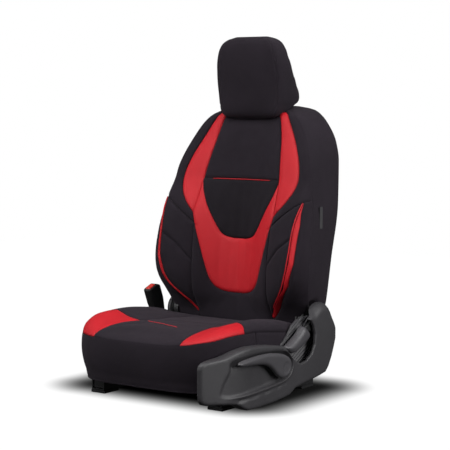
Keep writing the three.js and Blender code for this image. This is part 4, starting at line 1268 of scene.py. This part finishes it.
def within(points, outline):
    """Distance inside a closed outline, negative outside it."""
    gap = distance_to(points, ring_lines(outline))
    return np.where(inside(points, np.asarray(outline, float)), gap, -gap)


def shield_surface(points):
    """The shield's face with its rolled edge, the dish behind the lift lever and the channel below it."""
    y, z = points.T
    edge = shield_outline()
    pocket = distance_to(points, [np.array(NOTCH, float)])
    rim = distance_to(points, ring_lines(edge))
    outer = np.where(pocket < rim + 0.1, 99.0, rim)
    roll = 7 + 17 * smooth((z - 165) / 45) * smooth((y - 135) / 30)
    drop = roll * (1 - dome(outer, roll))
    drop = np.maximum(drop, POCKET_ROLL * (1 - dome(pocket, POCKET_ROLL)))
    front_dip = 3.5 * np.exp(-((y + 214) / 18) ** 2 - ((z - 134) / 13) ** 2)
    depth = DISH_DEPTH + DISH_REAR_DEPTH * smooth((y + 250) / 190) + front_dip
    drop = drop + depth * smooth(within(points, rounded(DISH, closed=True)) / 8)
    drop = drop + CHANNEL_DEPTH * smooth(within(points, rounded(CHANNEL, closed=True)) / 3)
    bead = distance_to(points, [rounded(RIDGE)])
    drop = drop - BEAD_RISE * np.exp(-((bead + 0.5) / 2.6) ** 2) * smooth((y + 250) / 60)
    swell = TOWER_SWELL * np.exp(-((y - 205) / 60) ** 2 - ((z - 150) / 80) ** 2)
    return shield_face(y) - drop + swell - SHIELD_STEP


def shield_back(points):
    """The wall's back edge, shallow round the pocket and where the recline arm swings up behind it."""
    y, z = points.T
    pocket = distance_to(points, [np.array(NOTCH, float)])
    depth = np.where((y > 120) & (y < 170) & (z > 190), ARM_WALL, shield_depth(y))
    depth = np.where(pocket < 1.5, POCKET_WALL, depth)
    return np.minimum(shield_face(y) - depth, shield_surface(points) - 1.5)


def level(height):
    return lambda points: np.full(len(points), float(height))


def crowned(outline, low, high, roll):
    """A face that rises from its rim round a quarter circle."""
    rim = ring_lines(outline)
    return lambda points: low + (high - low) * dome(distance_to(points, rim), roll)


def paddle_surface(points):
    """The lift lever's crowned face, with a shallow round dip over its axis."""
    face = crowned(rounded(PADDLE, closed=True), PADDLE_RIM, PADDLE_TOP, PADDLE_ROLL)(points)
    hub = np.hypot(points[:, 0] - LIFT_AXIS[0], points[:, 1] - LIFT_AXIS[1] - 4)
    return face - 1.4 * smooth((17 - hub) / 4)


def liner_surface(points):
    """The pocket's floor with its slanting ribs."""
    across = points[:, 1] * 0.88 - points[:, 0] * 0.48
    return LINER_FACE + RIB_HEIGHT * smooth(np.sin(across * 2 * math.pi / RIB_PITCH) * 1.4 + 0.5)


def build_shield():
    shell = moulding(
        "side_shield_shell", shield_outline(), shield_surface, shield_back, SHIELD_GREY,
        creases=[rounded(RIDGE)], pitch=5.0, step=3.5, closed=False, thick=SHIELD_WALL, outward=(1, 0, 0),
    )
    liner = moulding("pocket_liner_panel", LINER, liner_surface, level(LINER_BACK), LINER_GREY, pitch=2.4)
    lip = tube("side_shield_lip", rounded(LIP), LIP_RADIUS, SHIELD_GREY)
    bosses = []
    for name, (y, z, tip) in zip(("front", "rear"), SHIELD_BOSSES):
        path = [(x, y, z) for x in np.linspace(BOSS_FOOT, tip, 4)]
        bosses.append(tube(f"side_shield_boss_{name}", path, BOSS_RADIUS, SHIELD_GREY, guide=(0, 0, 1)))
    declare([shell], "cushion_frame")
    declare([liner], "cushion_frame")
    declare([lip, *bosses], "cushion_frame")
    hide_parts("side_shield")
    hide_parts("pocket_liner")


def build_levers():
    paddle = rounded(PADDLE, closed=True)
    lift = moulding(
        "lift_lever_paddle", paddle, paddle_surface, level(PADDLE_BACK), LEVER_GREY, pitch=3.5, step=2.5,
    )
    path = [(x, *LIFT_AXIS) for x in (237, 255, 275, 293)]
    shaft = tube("lift_lever_shaft", path, 7, BLACK_PLASTIC, guide=(0, 0, 1))
    strip = rounded(STRIP, closed=True)
    face = crowned(strip, GRIP_RIM, GRIP_TOP, GRIP_ROLL)
    grip = moulding("recline_lever_grip", strip, face, level(GRIP_BACK), LEVER_GREY, pitch=4.0, step=2.5)
    edge = rounded(RECLINE_ARM, closed=True)
    face = crowned(edge, ARM_RIM, ARM_TOP, ARM_ROLL)
    arm = moulding("recline_lever_arm", edge, face, level(ARM_BACK), BLACK_PLASTIC, pitch=5.0)
    path = [(x, *RECLINE_AXIS) for x in (259, 266, 274, 284)]
    hub = tube("recline_lever_hub", path, 13, BLACK_PLASTIC, sides=20, guide=(0, 0, 1))
    declare([lift, shaft], "lift_handle")
    declare([grip, arm, hub], "recline_release")
    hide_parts("lift_lever")
    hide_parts("recline_lever")


# ---------- buckle ----------
BUCKLE_LEAN = math.radians(22)
BUCKLE_PLACE = (-286, 192, 165)
BUCKLE_HALF, BUCKLE_FRONT, BUCKLE_REAR = 14, -27, 27
BUCKLE_TOP, BUCKLE_FALL, BUCKLE_ROLL = 98, 8, 5         # its top falls behind the button
KEY_BACK, KEY_RIM, KEY_CROWN, KEY_DIP = 90, 96.5, 4.5, 1.6


def soft_box(x0, x1, y0, y1, power=5.0, count=48):
    """A rectangle with rounded corners and slightly bowed sides."""
    angle = np.arange(count) / count * 2 * math.pi
    c, s = np.cos(angle), np.sin(angle)
    x = np.sign(c) * np.abs(c) ** (2 / power)
    y = np.sign(s) * np.abs(s) ** (2 / power)
    return np.column_stack([(x0 + x1) / 2 + x * (x1 - x0) / 2, (y0 + y1) / 2 + y * (y1 - y0) / 2])


def lean_buckle(points):
    """From the buckle's upright plan to its place on the stalk, narrowed towards its foot."""
    x, y, z = np.asarray(points, float).T
    waist = 0.76 + 0.24 * smooth(z / 55)
    x, y = x * (0.84 + 0.16 * smooth(z / 50)), -1 + (y + 1) * waist
    c, s = math.cos(BUCKLE_LEAN), math.sin(BUCKLE_LEAN)
    return np.column_stack([x, y * c - z * s, y * s + z * c]) + BUCKLE_PLACE


def build_buckle():
    rim = soft_box(-BUCKLE_HALF, BUCKLE_HALF, BUCKLE_FRONT, BUCKLE_REAR)
    well = soft_box(-9.5, 9.5, -22, 10, 7.0, 40)
    slot = soft_box(-8.5, 8.5, 14.5, 21, 6.0, 28)
    edges, openings = ring_lines(rim), ring_lines(well, slot)

    def top(points):
        slope = BUCKLE_TOP - BUCKLE_FALL * smooth((points[:, 1] - 10) / 17)
        gap, lip = distance_to(points, edges), distance_to(points, openings)
        return slope - BUCKLE_ROLL * (1 - dome(gap, BUCKLE_ROLL)) - 0.8 * (1 - dome(lip, 1.2))

    body = moulding(
        "buckle_body", rim, top, level(0), BLACK_PLASTIC, holes=(well, slot), pitch=4.0, step=1.8,
        place=lean_buckle, walls=(0.02, 0.1, 0.25, 0.45, 0.65, 0.85, 0.96),
    )
    key = soft_box(-8.8, 8.8, -21.3, 9.3, 6.0, 40)
    key_rim = ring_lines(key)

    def key_top(points):
        dip = KEY_DIP * np.exp(-(points[:, 0] / 6) ** 2 - ((points[:, 1] + 6) / 9) ** 2)
        return KEY_RIM + KEY_CROWN * dome(distance_to(points, key_rim), 5) - dip

    button = moulding(
        "buckle_press_button", key, key_top, level(KEY_BACK), RED_PLASTIC, pitch=3.0, step=1.8,
        place=lean_buckle,
    )
    declare([body], "buckle")
    declare([button], "buckle_push")
    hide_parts("buckle_housing")
    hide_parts("buckle_button")


# ---------- materials of the frame ----------
FRAME_FINISH = (
    (BLACK_STEEL, (
        "lower_rail", "upper_rail", "rail_foot", "lift_link", "side_member", "torque_tube", "seat_pan",
        "track_release_bar", "cross_tube", "lift_pump", "recliner_disc", "top_tube", "lower_member",
    )),
    (ZINC_STEEL, ("sync_shaft", "anchor_bolt", "lumbar_mat")),
    (BLACK_PLASTIC, ("buckle_stalk", "sleeve", "release_button", "headrest_core")),
    (SHIELD_GREY, ("inner_recliner_cover",)),
    (CHROME, ("headrest_posts",)),
    (LABEL, ("side_tag",)),
)


def finish_frame():
    """Gives each piece of the CAD frame that is still shown its material."""
    for name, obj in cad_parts.items():
        for material, words in FRAME_FINISH:
            if any(word in name for word in words) and not obj.hide_render:
                obj.data.materials.clear()
                obj.data.materials.append(material)


make_camera()
make_world()
for light, settings in LIGHTS.items():
    add_light(light, *settings)
make_floor()
build_backrest()
build_cushion()
build_headrest()
build_shield()
build_levers()
build_buckle()
finish_frame()
